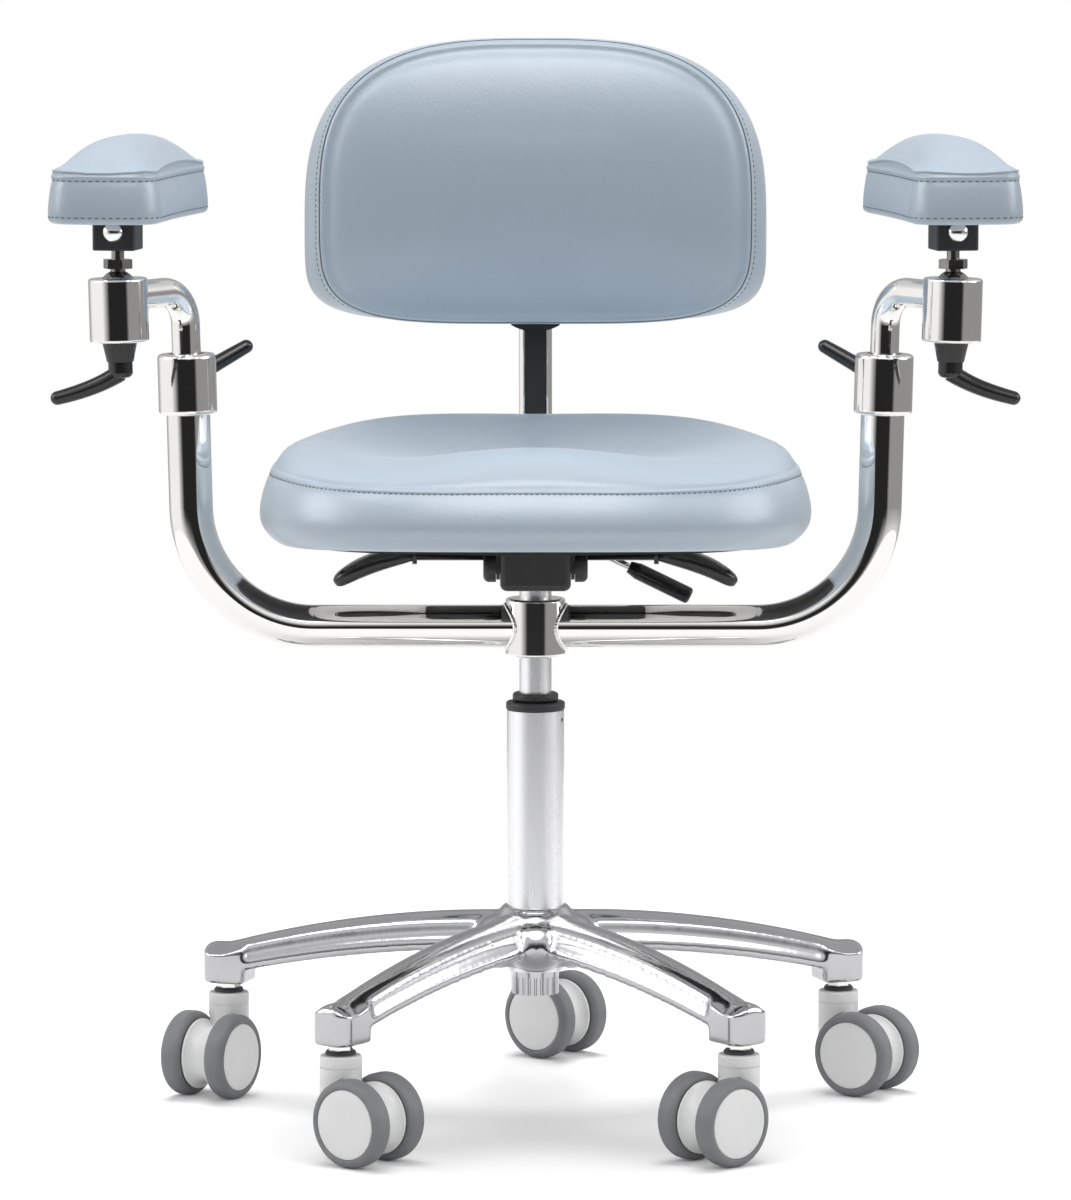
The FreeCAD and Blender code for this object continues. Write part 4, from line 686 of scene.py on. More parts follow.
def ring_faces(upper, lower):
    """Faces between two rings of point numbers."""
    after = np.roll(np.arange(len(upper)), -1)
    return [(upper[step], lower[step], lower[after[step]], upper[after[step]]) for step in range(len(upper))]


def fill_panel(outline, loops, rings):
    """Flat points and faces inside an outline: tight loops along the seam, rings, then a square grid."""
    total = len(outline)
    angle = 2 * math.pi * np.arange(total) / total
    circle = np.stack([np.cos(angle), np.sin(angle)], 1)
    row, column = np.meshgrid(*[np.linspace(-1, 1, QUARTER + 1)] * 2, indexing="ij")
    grid = np.stack([column, row], 2).reshape(-1, 2)
    grid = grid * CORE * np.sqrt(1 - CORE_ROUND * grid[:, ::-1] ** 2)
    numbers = np.arange(len(grid)).reshape(row.shape)
    border = np.concatenate([numbers[:-1, -1], numbers[-1, :0:-1], numbers[:0:-1, 0], numbers[0, :-1]])
    border = np.roll(border, -(QUARTER // 2))
    disc = [circle * (1 - share) + grid[border] * share for share in np.arange(rings) / rings]
    lines = [outline, *[drawn_in(outline, loop) for loop in loops]]
    points = np.concatenate([*lines[:-1], over_outline(lines[-1], np.concatenate([*disc, grid]))])
    middle = total * (len(lines) - 1 + rings)
    circles = [np.arange(total) + start for start in range(0, middle, total)] + [middle + border]
    faces = [face for outer, inner in zip(circles, circles[1:]) for face in ring_faces(inner, outer)]
    corners = [numbers[:-1, :-1], numbers[:-1, 1:], numbers[1:, 1:], numbers[1:, :-1]]
    faces += (np.stack(corners, 2).reshape(-1, 4) + middle).tolist()
    return points, faces


def cover_mesh(name, top, bands, base):
    """A closed cover: a top panel, the rings of its side band from the seam down, and a base panel. In metres."""
    (top_points, top_faces), (base_points, base_faces) = top, base
    total = len(bands[0])
    start = len(top_points)
    rings = [np.arange(total)] + [np.arange(total) + start + total * number for number in range(len(bands) + 1)]
    faces = list(top_faces)
    for upper, lower in zip(rings, rings[1:]):
        faces += ring_faces(upper, lower)
    faces += [tuple(rings[-1][0] + corner for corner in reversed(face)) for face in base_faces]
    return new_mesh(name, np.concatenate([top_points, *bands, base_points]), faces), rings


# %% Air
SIMULATION_FRAMES = 20
WRINKLE_PASSES = 60
CLOTH = {
    "quality": 5, "mass": 0.3, "tension_stiffness": 25, "compression_stiffness": 25, "bending_stiffness": 2,
    "vertex_group_mass": "pinned", "use_pressure": True, "uniform_pressure_force": 4,
}


def smoothed(mesh, move, pinned):
    """A movement of the mesh's points with its wrinkles evened out. Pinned points keep still."""
    pairs = np.array([edge.vertices for edge in mesh.edges])
    count = np.bincount(pairs.ravel(), minlength=len(move))[:, None]
    for _ in range(WRINKLE_PASSES):
        total = np.zeros_like(move)
        np.add.at(total, pairs[:, 0], move[pairs[:, 1]])
        np.add.at(total, pairs[:, 1], move[pairs[:, 0]])
        move = total / count
        move[pinned] = 0
    return move


def puffed(mesh, rings, rows, cap):
    """The cover's points after air has swollen it, none of them moved further than the cap.

    The seam, the sewn rows of the band, its foot and the base are pinned.
    """
    rest = np.array([vertex.co for vertex in mesh.vertices])
    base = np.arange(rings[-1][0], len(rest))
    pinned = np.concatenate([rings[0], *[rings[row] for row in rows], *rings[-3:], base])
    thing = new_object("air", mesh.copy())
    thing.vertex_groups.new(name="pinned").add([int(number) for number in pinned], 1.0, "REPLACE")
    cloth = thing.modifiers.new("cloth", "CLOTH")
    for key, value in CLOTH.items():
        setattr(cloth.settings, key, value)
    cloth.settings.effector_weights.gravity = 0
    cloth.collision_settings.use_collision = False
    for number in range(1, SIMULATION_FRAMES + 1):
        bpy.context.scene.frame_set(number)
    swollen = np.array([vertex.co for vertex in plain_mesh(thing, "swollen").vertices])
    bpy.data.objects.remove(thing)
    bpy.context.scene.frame_set(1)
    move = smoothed(mesh, swollen - rest, pinned)
    length = np.linalg.norm(move, axis=1)
    print("  air moved points by up to", round(length.max() / MM, 1), "mm")
    return rest + move * np.minimum(1, cap * MM / np.maximum(length, 1e-9))[:, None]


def facing_out(mesh):
    """Turns the faces of a closed mesh outwards."""
    with edited(mesh) as work:
        bmesh.ops.recalc_face_normals(work, faces=work.faces)
    return mesh


def soft_piece(name, mesh, points, body, node):
    """The finished cushion: swollen points, one subdivision, leather, and its place in the frame."""
    mesh.vertices.foreach_set("co", points.ravel())
    piece = with_modifier(name, facing_out(mesh), "SUBSURF", levels=1, render_levels=1)
    dress(piece, leather, body, "upholstery", node)
    return piece


print("cover tools ready")

# %% [markdown]
# ## Thread
#
# A row of stitches is one small shape, repeated every few millimetres. Geometry Nodes does that with a tree that puts
# an instance on every point of a mesh. Two attributes of the points turn each stitch along the seam and off the
# surface. The row is then made a plain mesh, because the finished model has no need of the tree.


# %% Bead tree: stitches, or the ripples of a weld
def attribute(nodes, name):
    node = nodes.add("GeometryNodeInputNamedAttribute", {"Name": name}, data_type="FLOAT_VECTOR")
    return node.outputs["Attribute"]


def put_on_points(nodes, given, result, **inputs):
    """Ends a tree: an instance on every point, made real, smooth and of the given finish."""
    put = nodes.add("GeometryNodeInstanceOnPoints", {"Points": given["Points"], **inputs})
    real = nodes.add("GeometryNodeRealizeInstances", {"Geometry": put.outputs[0]})
    smooth = nodes.add("GeometryNodeSetShadeSmooth", {"Geometry": real.outputs[0]})
    painted = nodes.add("GeometryNodeSetMaterial", {"Geometry": smooth.outputs[0], "Material": given["Finish"]})
    nodes.feed(result.inputs[0], painted.outputs[0])


beads, nodes, given, result = new_group(
    "bead_row",
    [
        ("Points", "Geometry"), ("Length", "Float"), ("Width", "Float"), ("Unevenness", "Float"),
        ("Finish", "Material"),
    ],
    [("Beads", "Geometry")],
    "GeometryNodeTree",
)
turn = nodes.add("FunctionNodeAlignRotationToVector", {"Vector": attribute(nodes, "along")}, axis="X")
turn = nodes.add(
    "FunctionNodeAlignRotationToVector", {"Rotation": turn.outputs[0], "Vector": attribute(nodes, "out")},
    axis="Z", pivot_axis="X",
)
size = nodes.add("ShaderNodeCombineXYZ", {"X": given["Length"], "Y": given["Width"], "Z": given["Width"]})
vary = nodes.add("FunctionNodeRandomValue", {
    "Seed": 7,
    2: nodes.math("SUBTRACT", 1.0, given["Unevenness"]),
    3: nodes.math("ADD", 1.0, given["Unevenness"]),
}, data_type="FLOAT")
scale = nodes.add("ShaderNodeVectorMath", {"Scale": vary.outputs[1], 0: size.outputs[0]}, operation="SCALE")
bead = nodes.add("GeometryNodeMeshUVSphere", {"Segments": 6, "Rings": 5, "Radius": 0.5})
put_on_points(
    nodes, given, result, Instance=bead.outputs["Mesh"], Rotation=turn.outputs[0], Scale=scale.outputs[0],
)
print("bead tree:", len(beads.nodes), "nodes")


# %% Rows of points
def points_mesh(name, spots, along, outward):
    """A mesh of bare points with the two direction attributes that the bead tree reads."""
    mesh = new_mesh(name, spots)
    for key, values in (("along", along), ("out", outward)):
        ways = mesh.attributes.new(key, "FLOAT_VECTOR", "POINT")
        ways.data.foreach_set("vector", np.asarray(values, float).ravel())
    return mesh


def grown(name, tree, mesh, **values):
    """What a Geometry Nodes tree makes of a mesh, as a plain mesh object."""
    rough = new_object(name + "_points", mesh)
    modifier = rough.modifiers.new("nodes", "NODES")
    modifier.node_group = tree
    for item in tree.interface.items_tree:
        if item.in_out == "INPUT" and item.name in values:
            modifier[item.identifier] = values[item.name]
    return finished(name, rough)


def row_on(piece, line, pitch):
    """Points along a closed line, moved onto the piece's surface, with the way along and the way out."""
    loop = np.concatenate([line, line[:1]])
    count = int(round(np.linalg.norm(np.diff(loop, axis=0), axis=1).sum() / pitch))
    spots = evenly(loop, count)
    work = bmesh.new()
    work.from_mesh(piece.data)
    tree = BVHTree.FromBMesh(work)
    work.free()
    hits = [tree.find_nearest(Vector(spot)) for spot in spots]
    return np.array([hit[0] for hit in hits]), ways_along(spots), np.array([hit[1] for hit in hits])


# %% Stitches and seam cords
STITCH_SHARE, STITCH_WIDTH = 0.68, 1.1 * MM
CORD_SIDES = 6
CUSHION_SWELL, CUSHION_FILL, CUSHION_PITCH = 5, 0.8, 4.8


def stitched(name, piece, lines, pitch, body):
    """Stitches along some lines of a cushion, as one piece. Their dark colour is painted shade of the stitch holes."""
    rows = [row_on(piece, line, pitch * MM) for line in lines]
    spots, along, outward = [np.concatenate(part) for part in zip(*rows)]
    row = grown(
        name, beads, points_mesh(name, spots, along, outward),
        Length=pitch * MM * STITCH_SHARE, Width=STITCH_WIDTH, Unevenness=0.06, Finish=looks["sewing_thread"],
    )
    dress(row, None, body, "upholstery")
    print(name + ":", len(spots), "stitches")


def ring_mesh(name, rings):
    """A mesh through rings of points, whose last ring joins the first."""
    size = len(rings[0])
    numbers = [np.arange(size) + size * step for step in range(len(rings))]
    faces = [face for low, high in zip(numbers, numbers[1:] + numbers[:1]) for face in ring_faces(low, high)]
    mesh = facing_out(new_mesh(name, np.concatenate(rings), faces))
    mesh.shade_smooth()
    return mesh


def cord(name, line, radius, finish, body):
    """A thin cord along a closed line: a welt, or a dark cord of painted shade along the groove where two panels are
    sewn together.
    """
    ahead = unit(ways_along(line))
    first = unit(np.cross(ahead, line - line.mean(0)))
    second = np.cross(ahead, first)
    turns = 2 * math.pi * np.arange(CORD_SIDES) / CORD_SIDES
    rings = [line + radius * MM * (first * math.cos(turn) + second * math.sin(turn)) for turn in turns]
    dress(new_object(name, ring_mesh(name, rings)), finish, body, "upholstery")


def cushion(name, mesh, rings, row, seam_shade_radius, body, node):
    """A large cushion from its cover, with a dark cord of painted shade along its seam and one row of stitches."""
    swollen = puffed(mesh, rings, [row], CUSHION_SWELL)
    piece = soft_piece(name + "_leather", mesh, swollen, body, node)
    cord(name + "_seam", swollen[rings[0]], seam_shade_radius, looks["seam_shade"], body)
    stitched(name + "_stitches", piece, [swollen[rings[row]]], CUSHION_PITCH, body)
    print(name + ":", len(piece.data.polygons), "faces")


# %% [markdown]
# ## Seat
#
# The seat is a rounded shell of foam with a raised front middle, two shallow hollows for the thighs and a higher rear
# rim. A small table of heights describes that form, and a polynomial through it keeps the surface smooth. The top
# panel rolls over its edge and is sewn to a side band, with a row of topstitching just under the seam.

# %% Seat form
SEAT_HALF_WIDTH, SEAT_HALF_DEPTH, SEAT_POWER = 240, 212, 2.83
TABLE_REACH = 237
SEAT_ROWS = np.array([-237, -106, 0, 106, 237]) / TABLE_REACH
SEAT_COLUMNS = np.array([0, 0.34, 0.68, 1.083])
SEAT_HEIGHTS = np.array([
    [556, 553, 553, 556],
    [588, 581, 573, 580],
    [570, 569, 575, 585],
    [567, 570, 581, 592],
    [646, 652, 664, 640],
])
SEAM_PLACES = (-212, -195, -168, -137, -97, 0, 80, 120, 150, 175, 195, 212)
SEAM_LEVELS = (567.5, 564.5, 566, 569, 572, 571, 572, 575, 580, 587, 591, 593)
SEAM_SMOOTHING = 6

seat_along = np.vander(SEAT_ROWS, increasing=True)
seat_across = np.vander(SEAT_COLUMNS ** 2, increasing=True)
seat_factors = np.linalg.solve(seat_along, SEAT_HEIGHTS) @ np.linalg.inv(seat_across).T


def seat_top(flat):
    """The height of the seat's foam under flat points, in mm."""
    along = np.vander(flat[:, 1] / TABLE_REACH, len(SEAT_ROWS), increasing=True)
    across = np.vander((flat[:, 0] / SEAT_HALF_WIDTH) ** 2, len(SEAT_COLUMNS), increasing=True)
    return np.einsum("ni,ij,nj->n", along, seat_factors, across)


def seat_seam_height(outline):
    """The seam dips at the front corners, and climbs towards the rear."""
    height = np.interp(outline[:, 1], SEAM_PLACES, SEAM_LEVELS)
    for _ in range(SEAM_SMOOTHING):
        height = (np.roll(height, 1) + 2 * height + np.roll(height, -1)) / 4
    return height


seat_quarter = egg_quarter(SEAT_HALF_WIDTH, SEAT_HALF_DEPTH, SEAT_POWER)
seat_outline = closed(seat_quarter, seat_quarter)
print("seat heights:", seat_top(seat_outline[::QUARTER]).round(1))

# %% Seat top
SEAM_TUCK = 0.8
SEAM_SINK, ON_SEAM = 1.6, 0.1
EDGE_ROLL = 26
INSET_FRONT, INSET_MORE, INSET_CHANGES = 13, 4, (-60, 120)


def lifted(flat, height):
    return np.column_stack([flat, np.broadcast_to(height, len(flat))]) * MM


seat_seam_inset = INSET_FRONT + INSET_MORE * smooth_step(seat_outline[:, 1], *INSET_CHANGES)
seat_seam = drawn_in(seat_outline, seat_seam_inset + SEAM_TUCK)
flat, faces = fill_panel(seat_seam, SEAM_LOOPS, TOP_RINGS)
edge, near = off_edge(flat, seat_seam)
sink = np.where(edge < ON_SEAM, SEAM_SINK, 0)
seam_height = seat_seam_height(seat_seam)
drop = closer(seat_top(seat_seam) - seam_height)[near] * np.clip(1 - edge / EDGE_ROLL, 0, 1) ** 2
seat_panel = lifted(flat, seat_top(flat) - drop - sink), faces
print("seat top:", len(flat), "points")

# %% Seat band and base
SEAT_BOTTOM_FRONT, SEAT_BOTTOM_SIDE = 510, 503
STITCH_DROP, STITCH_DROP_LESS = 7.5, 3.5
ROLL_END, FOOT_START, FOOT_INSET = 0.68, 0.58, 20
WALL_SHARES = (0.26, 0.36, 0.47, 0.58, 0.69, 0.79, 0.88, 0.94, 0.98)
SEAT_STITCH_RING = 4
BASE_INSET, BASE_LEVEL, BASE_LIP = 24.3, 517.4, 1.0

front = np.clip(-seat_outline[:, 1] / SEAT_HALF_DEPTH, 0, 1) ** 2
seat_base_height = SEAT_BOTTOM_SIDE + (SEAT_BOTTOM_FRONT - SEAT_BOTTOM_SIDE) * front
sewn = STITCH_DROP - STITCH_DROP_LESS * front
wall = seam_height - seat_base_height


def seat_ring(drop, dent=0.0):
    """A ring of the side band, some way under the seam. The band bulges between its seam and its foot."""
    share = drop / wall
    upper = seat_seam_inset * np.clip(1 - share / ROLL_END, 0, 1) ** 2
    foot = FOOT_INSET * np.clip((share - FOOT_START) / (1 - FOOT_START), 0, 1) ** 2.6
    return lifted(drawn_in(seat_outline, upper + foot + dent), seam_height - drop)


dents = ((0.9, -0.2), (1.8, -1.0), (sewn - 1.4, -0.9), (sewn, 0.9), (sewn + 1.6, -0.3))
seat_bands = [seat_ring(drop, dent) for drop, dent in dents]
seat_bands += [seat_ring(wall * share) for share in WALL_SHARES]
base_outline = drawn_in(seat_outline, BASE_INSET)
flat, faces = fill_panel(base_outline, BASE_LOOPS + (14,), BASE_RINGS)
height = np.full(len(flat), BASE_LEVEL)
height[:len(base_outline)] = seat_base_height + BASE_LIP
mesh, rings = cover_mesh("seat_cover", seat_panel, seat_bands, (lifted(flat, height), faces))
print("seat cover:", len(mesh.vertices), "points")

# %% Seat cushion
cushion("seat", mesh, rings, SEAT_STITCH_RING, 0.55, "seat", "seat_cushion")

# %% Seat underside
LINING_LEVEL, LINING_THICKNESS, LINING_SAG = 506.6, 1.0, 1.2
LINING_INSET = 44
HOLE_REAR, HOLE_FRONT = (97, 99, 12), (97, 95, 12)

outer = drawn_in(seat_outline, LINING_INSET)
inner = closed(egg_quarter(*HOLE_REAR), egg_quarter(*HOLE_FRONT))
shares = np.linspace(0, 1, 9)
flats = [outer * (1 - share) + inner * share for share in shares]
sag = [LINING_SAG * math.sin(math.pi * share) for share in shares]
rings = [lifted(flat, LINING_LEVEL - dip) for flat, dip in zip(flats, sag)]
rings += [lifted(flat, LINING_LEVEL + LINING_THICKNESS) for flat in reversed(flats)]
mesh = ring_mesh("seat_lining", rings)
dress(new_object("seat_lining", mesh), looks["lining_cloth"], "seat", "upholstery")
print("seat lining:", len(mesh.polygons), "faces")

# %% [markdown]
# ## Back rest
#
# Seen from the front the back rest is a wide rounded shield. A flat piped margin runs inside the seam, and a pillow
# rises from it. The band behind the seam flares outwards at the sides, so the cushion is widest behind its face. It
# is the same kind of cover as the seat, stood on edge.

# %% Back form
BACK_ORIGIN = 771
SEAM_Y, SHELL_Y = 178, 230.6
BACK_CENTRE, SEAM_HALF = 780, 193
UPPER_REACH, UPPER_POWER = 153, 2.95
LOWER_REACH, LOWER_POWER = 99.5, 4.4
WIDE_CENTRE, WIDE_HALF = 763.5, 208
WIDE_UPPER, WIDE_LOWER = (170.5, 2.95), (83.5, 5)
# Ridges along the seam: height, distance from the seam and width.
PIPING, SEAM_GROOVE, VALLEY = (1.4, 3, 2), (1.6, 0, 0.9), (2.2, 9, 5)
PILLOW, DOME, BOW = 12, 2, 13

upper_quarter = egg_quarter(SEAM_HALF, UPPER_REACH, UPPER_POWER)
lower_quarter = egg_quarter(SEAM_HALF, LOWER_REACH, LOWER_POWER)
seam_outline = closed(upper_quarter, lower_quarter) + (0, BACK_CENTRE - BACK_ORIGIN)
wide_outline = closed(egg_quarter(WIDE_HALF, *WIDE_UPPER), egg_quarter(WIDE_HALF, *WIDE_LOWER))
wide_outline = wide_outline + (0, WIDE_CENTRE - BACK_ORIGIN)


def upright(flat, depth):
    """Flat points of the back rest set upright: across, depth, height."""
    return np.column_stack([flat[:, 0], np.broadcast_to(depth, len(flat)), flat[:, 1] + BACK_ORIGIN]) * MM


def seam_ridge(edge, height, place, width):
    """A rounded ridge that follows the seam at some distance."""
    return height * np.exp(-((edge - place) / width) ** 2)


def back_front(flat):
    """How far the front panel stands out of the seam: a groove at the seam, a margin, then one smooth pillow."""
    edge, _ = off_edge(flat, seam_outline)
    level = flat[:, 1] - (BACK_CENTRE - BACK_ORIGIN)
    power = np.where(level > 0, UPPER_POWER, LOWER_POWER)
    reach = np.where(level > 0, UPPER_REACH, LOWER_REACH)
    share = ((np.abs(flat[:, 0]) / SEAM_HALF) ** power + (np.abs(level) / reach) ** power) ** (1 / power)
    margin = seam_ridge(edge, *PIPING) - seam_ridge(edge, *SEAM_GROOVE) - seam_ridge(edge, *VALLEY)
    return margin + PILLOW * (1 - share ** 5) + DOME * (1 - share ** 2) + BOW * (1 - (level / reach) ** 2)


print("back outline:", len(seam_outline), "points")

# %% Back cover
# Rings of the band: depth, how far from the seam's outline to the widest one, and a dent.
BACK_BANDS = (
    (179.0, 0.02, -1.5), (181.0, 0.1, -1.7), (183, 0.2, -0.3), (184.8, 0.3, -0.8), (189, 0.52, 0), (194, 0.72, 0),
    (200, 0.88, 0), (206, 0.97, 0), (212, 1, 0), (218, 1, 0.6), (223, 1, 2.0), (227, 1, 4.4), (229.6, 1, 7.6),
)
BACK_STITCH_RING = 3
BACK_BASE_INSET = 11

flat, faces = fill_panel(seam_outline, SEAM_LOOPS + (11, 15, 20), TOP_RINGS)
back_panel = upright(flat, SEAM_Y - back_front(flat)), faces
back_bands = []
for depth, share, dent in BACK_BANDS:
    ring = seam_outline * (1 - share) + wide_outline * share
    back_bands.append(upright(drawn_in(ring, dent), depth))
flat, faces = fill_panel(drawn_in(wide_outline, BACK_BASE_INSET), BASE_LOOPS, BASE_RINGS)
mesh, rings = cover_mesh("back_cover", back_panel, back_bands, (upright(flat, SHELL_Y), faces))
print("back cover:", len(mesh.vertices), "points")

# %% Back cushion
cushion("back", mesh, rings, BACK_STITCH_RING, 0.7, "back_rest", "back_cushion")

# %% [markdown]
# ## Arm pads
#
# Each pad is a small cushion with a straight band and a crowned top. Its sides pull in a little between the corners,
# and two rows of topstitching run round the band. The pads toe outwards, so each is made flat in its own frame and
# then set on its ball joint.

# %% Pad form
PAD_HALF_WIDTH, PAD_HALF_LENGTH, PAD_CORNER = 51, 120, 22
PAD_WAIST, PAD_BOW = 4, 7
PAD_WALL, PAD_CROWN, PAD_LEAN = 42.5, 29, 5
PAD_LIP, PAD_VALLEY = (0.8, 1.8, 1.2), (0.8, 5, 2.5)


def pad_quarter():
    """A quarter of a rounded rectangle, from the middle of its side to the middle of its end."""
    turn = np.linspace(0, math.pi / 2, 60)
    corner = np.stack([
        PAD_HALF_WIDTH - PAD_CORNER * (1 - np.cos(turn)),
        PAD_HALF_LENGTH - PAD_CORNER * (1 - np.sin(turn)),
    ], 1)
    return np.concatenate([[(PAD_HALF_WIDTH, 0)], corner, [(0, PAD_HALF_LENGTH)]])


pad_outline = closed(pad_quarter(), pad_quarter())
across, along = pad_outline[:, 0] / PAD_HALF_WIDTH, pad_outline[:, 1] / PAD_HALF_LENGTH
pad_outline = pad_outline - np.stack([
    PAD_WAIST * across * (1 - along ** 2),
    PAD_BOW * (along * across ** 2),
], 1)


def pad_top(flat, edge):
    """The pad's crown: a lip along the seam, a valley inside it and a dome over the middle."""
    across, along = flat[:, 0] / (PAD_HALF_WIDTH - PAD_LEAN), flat[:, 1] / (PAD_HALF_LENGTH - PAD_LEAN)
    dome = np.clip(1 - np.abs(across) ** 2.4, 0, 1) * np.clip(1 - np.abs(along) ** 3.6, 0, 1)
    return seam_ridge(edge, *PAD_LIP) - seam_ridge(edge, *PAD_VALLEY) + PAD_CROWN * dome


print("pad outline:", len(pad_outline), "points")

# %% Pad cover
# Rings of the band: height and dent.
PAD_BANDS = (
    (41.9, 0), (40.8, -1.1), (38.5, -0.9), (36.8, 1), (35, -0.1), (27, -0.4), (18, -0.4),
    (7.8, -0.1), (6, 0.9), (4.4, 0.4), (2.6, 1.6), (1, 3.6), (0.3, 5.8),
)
PAD_ROWS = (4, 9)
PAD_BASE_INSET, PAD_SWELL = 9, 4

pad_seam = drawn_in(pad_outline, PAD_LEAN + SEAM_TUCK)
flat, faces = fill_panel(pad_seam, SEAM_LOOPS, PAD_RINGS)
pad_panel = lifted(flat, PAD_WALL + pad_top(flat, off_edge(flat, pad_seam)[0])), faces
pad_bands = []
for height, dent in PAD_BANDS:
    lean = PAD_LEAN * (height / PAD_WALL) ** 1.3
    pad_bands.append(lifted(drawn_in(pad_outline, lean + dent), height))
flat, faces = fill_panel(drawn_in(pad_outline, PAD_BASE_INSET), BASE_LOOPS, BASE_RINGS)
pad_mesh, pad_rings = cover_mesh("pad_cover", pad_panel, pad_bands, (lifted(flat, 0), faces))
pad_points = puffed(pad_mesh, pad_rings, PAD_ROWS, PAD_SWELL)
print("pad cover:", len(pad_points), "points")

# %% Pad cushions
PAD_TOE = 9
PAD_INSET, PAD_RISE = 10, 59.9
PAD_FILL, PAD_PITCH, PAD_WELT = 0.85, 6, 1.4

for label, side in SIDES.items():
    ball = Vector(joints["pad_turn_" + label]["pos_m"])
    place = Matrix.Translation(ball + Vector((-side * PAD_INSET, 0, PAD_RISE)) * MM)
    place = place @ Matrix.Rotation(math.radians(side * PAD_TOE), 4, "Z")
    points = pad_points @ np.array(place.to_3x3()).T + np.array(place.translation)
    name = "arm_pad_" + label
    pad = soft_piece(name + "_leather", pad_mesh.copy(), points, name, name)
    stitched(name + "_stitches", pad, [points[pad_rings[row]] for row in PAD_ROWS], PAD_PITCH, name)
    cord(name + "_welt", points[pad_rings[0]], PAD_WELT, leather, name)
print("pads:", len(pad.data.polygons), "faces each")

# %% [markdown]
# ## Fasteners and welds
#
# The arm tubes are welded to their hub, and a chromed weld shows as a soft rippled ring. The bead tree that sewed the
# cushions makes it too, with larger beads that overlap along the line where tube and hub meet. A second tree puts a
# turned screw head on every point that it is given.

# %% Weld beads
TUBE_RADIUS, HUB_RADIUS, TUBE_LEVEL = 19 * MM, 26 * MM, 426.5 * MM
BEADS_ROUND, BEAD_LENGTH, BEAD_WIDTH = 84, 5 * MM, 4.4 * MM

angle = np.linspace(0, 2 * math.pi, BEADS_ROUND, endpoint=False)
across = TUBE_RADIUS * np.cos(angle)
reach = np.sqrt(HUB_RADIUS ** 2 - across ** 2)
level = TUBE_LEVEL + TUBE_RADIUS * np.sin(angle)
weld_rings = [np.stack([side * reach, across, level], 1) for side in SIDES.values()]
spots = np.concatenate(weld_rings)
along = np.concatenate([ways_along(ring) for ring in weld_rings])
points = points_mesh("hub_welds", spots, along, spots - (0, 0, TUBE_LEVEL))
welds = grown(
    "hub_welds", beads, points, Length=BEAD_LENGTH, Width=BEAD_WIDTH, Unevenness=0.05, Finish=looks["chrome"],
)
dress(welds, None, "lift", "chrome")
print("weld beads:", len(spots))

# %% Screw tree: a turned head on every point, with its axis along the point's 'out' attribute
screws, nodes, given, result = new_group(
    "screw_heads",
    [("Points", "Geometry"), ("Head", "Object"), ("Finish", "Material")],
    [("Screws", "Geometry")],
    "GeometryNodeTree",
)
turn = nodes.add("FunctionNodeAlignRotationToVector", {"Vector": attribute(nodes, "out")}, axis="Z")
head = nodes.add("GeometryNodeObjectInfo", {"Object": given["Head"]})
put_on_points(nodes, given, result, Instance=head.outputs["Geometry"], Rotation=turn.outputs[0])

HEAD_STEPS = 24


def screwed(name, profile, spots, outward, finish, body):
    """Turned heads at some spots, all facing one way, as one piece."""
    head = new_object("head", lathe("head", profile, HEAD_STEPS, Matrix(), [looks[finish]]))
    points = points_mesh(name, spots, [outward] * len(spots), [outward] * len(spots))
    piece = grown(name, screws, points, Head=head, Finish=looks[finish])
    bpy.data.objects.remove(head)
    dress(piece, None, body, finish)
    print(name + ":", len(spots))


# %% Screws and bolts
# Profiles of turned heads, from the rim up and in to the axis.
SOCKET_HEAD = [
    (6.2, -0.4, 0), (6, 0.7, 0), (5.3, 1.9, 0), (4.2, 2.6, 0),
    (2.5, 2.6, 0), (2.2, 2.2, 0), (2.2, -1, 0), (0, -1, 0),
]
DOME_HEAD = [(9, -0.5, 0), (9, 0.8, 0), (8.6, 2.2, 0), (7.2, 3.8, 0), (5, 5, 0), (2.6, 5.7, 0), (0, 5.9, 0)]
BOLT_REACH, BOLT_RISE = 18.4 * MM, 3 * MM
PLATE_SPREAD, PLATE_MIDDLE, PLATE_SINK = 78 * MM, 4 * MM, 4 * MM
SHELL_SPREAD, SHELL_LEVELS = 60 * MM, (725 * MM, 790 * MM)

for label, side in SIDES.items():
    low, high = [np.array(corner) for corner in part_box("pad_block_" + label)]
    turn = math.radians(side * PAD_TOE)
    ahead = np.array([math.sin(turn), -math.cos(turn), 0])
    spot = (low + high) / 2 + ahead * BOLT_REACH + (0, 0, BOLT_RISE)
    screwed("pad_bolt_" + label, DOME_HEAD, [spot], ahead, "chrome", "arm_pad_" + label)
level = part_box("seat_plate")[1][2] - PLATE_SINK
corners = [(x * PLATE_SPREAD, PLATE_MIDDLE + y * PLATE_SPREAD, level) for x in (-1, 1) for y in (-1, 1)]
screwed("seat_screws", SOCKET_HEAD, corners, (0, 0, -1), "gloss_black", "seat")
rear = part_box("back_shell")[1][1]
corners = [(x * SHELL_SPREAD, rear, z) for x in (-1, 1) for z in SHELL_LEVELS]
screwed("shell_screws", SOCKET_HEAD, corners, (0, 1, 0), "gloss_black", "back_rest")

# %% [markdown]
# ## Paddle levers
#
# The two levers under the seat end in thick moulded paddles that a finger can find without looking. Their shafts stay
# as CAD made them. The paddle itself is a chain of rounded sections along a drooping line, which is how a moulder
# would draw it.

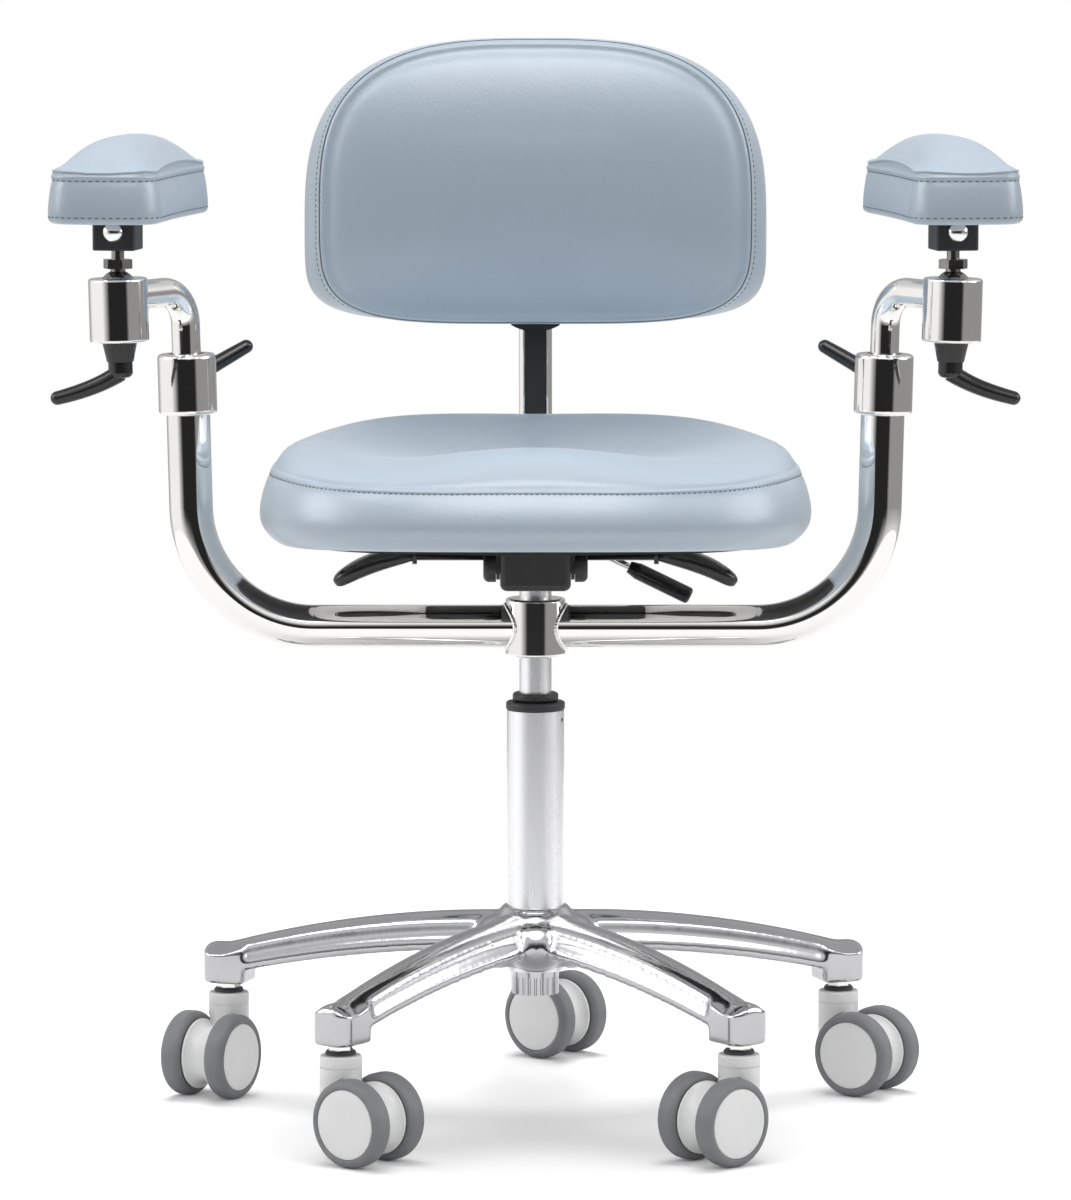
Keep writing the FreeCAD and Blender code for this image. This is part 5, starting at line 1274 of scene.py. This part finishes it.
# %% Paddle form
# Sections: reach, level, half height and half width.
PADDLE_SECTIONS = np.array([
    (104, 0, 4.0, 4.0), (106, 0, 5.2, 7.0), (110, -0.2, 6.2, 10.5), (118, -1.2, 7.4, 14.5), (128, -3.2, 8.2, 17),
    (140, -6.6, 8.6, 17.5), (152, -11.4, 8.4, 17), (162, -16.8, 7.6, 15.5), (169, -21.2, 6.6, 13),
    (172.4, -23.6, 5.2, 10), (174, -24.8, 3.0, 6.0),
])
PADDLE_STEPS, PADDLE_POWER = 28, 3.0


def rounded_square(wave):
    """A sine or cosine wave, squared off."""
    return np.sign(wave) * np.abs(wave) ** (2 / PADDLE_POWER)


def paddle_mesh(centre, side):
    """Rounded sections across a drooping line, joined and closed. Centre is on the lever's shaft."""
    slope = np.gradient(PADDLE_SECTIONS[:, 1], PADDLE_SECTIONS[:, 0])
    turn = 2 * math.pi * np.arange(PADDLE_STEPS) / PADDLE_STEPS
    wide, tall = rounded_square(np.cos(turn)), rounded_square(np.sin(turn))
    rings = []
    for (x, z, half_height, half_width), fall in zip(PADDLE_SECTIONS, slope):
        lean = math.atan(fall)
        reach = x - math.sin(lean) * tall * half_height
        level = z + math.cos(lean) * tall * half_height
        ring = np.stack([side * reach * MM, wide * half_width * MM, level * MM], 1)
        rings.append(ring + (0, centre.y, centre.z))
    numbers = [np.arange(PADDLE_STEPS) + PADDLE_STEPS * step for step in range(len(rings))]
    faces = [face for low, high in zip(numbers, numbers[1:]) for face in ring_faces(low, high)]
    return new_mesh("paddle", np.concatenate(rings), [*faces, numbers[0][::-1], numbers[-1]])


# %% Paddles
PADDLE_CUT = 107 * MM

for lever, side in (("height_lever", -1), ("tilt_lever", 1)):
    shaft = cad_copy(lever)
    with edited(shaft) as work:
        bmesh.ops.bisect_plane(
            work, geom=[*work.verts, *work.edges, *work.faces],
            plane_co=(side * PADDLE_CUT, 0, 0), plane_no=(side, 0, 0), clear_outer=True,
        )
        bmesh.ops.holes_fill(work, edges=[edge for edge in work.edges if edge.is_boundary])
    centre = Vector(joints[lever + "_pull"]["pos_m"])
    paddle = with_modifier(lever + "_paddle", paddle_mesh(centre, side), "SUBSURF", levels=1, render_levels=1)
    with edited(shaft, paddle.data) as work:
        bmesh.ops.recalc_face_normals(work, faces=work.faces)
    paddle.data.shade_smooth()
    dress(paddle, looks["gloss_black"], lever, "gloss_black", lever)
    print(lever, len(paddle.data.polygons), "faces")

# %% Boxes
low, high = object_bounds()
print("visual box", [round(value, 3) for value in (*low, *high)])
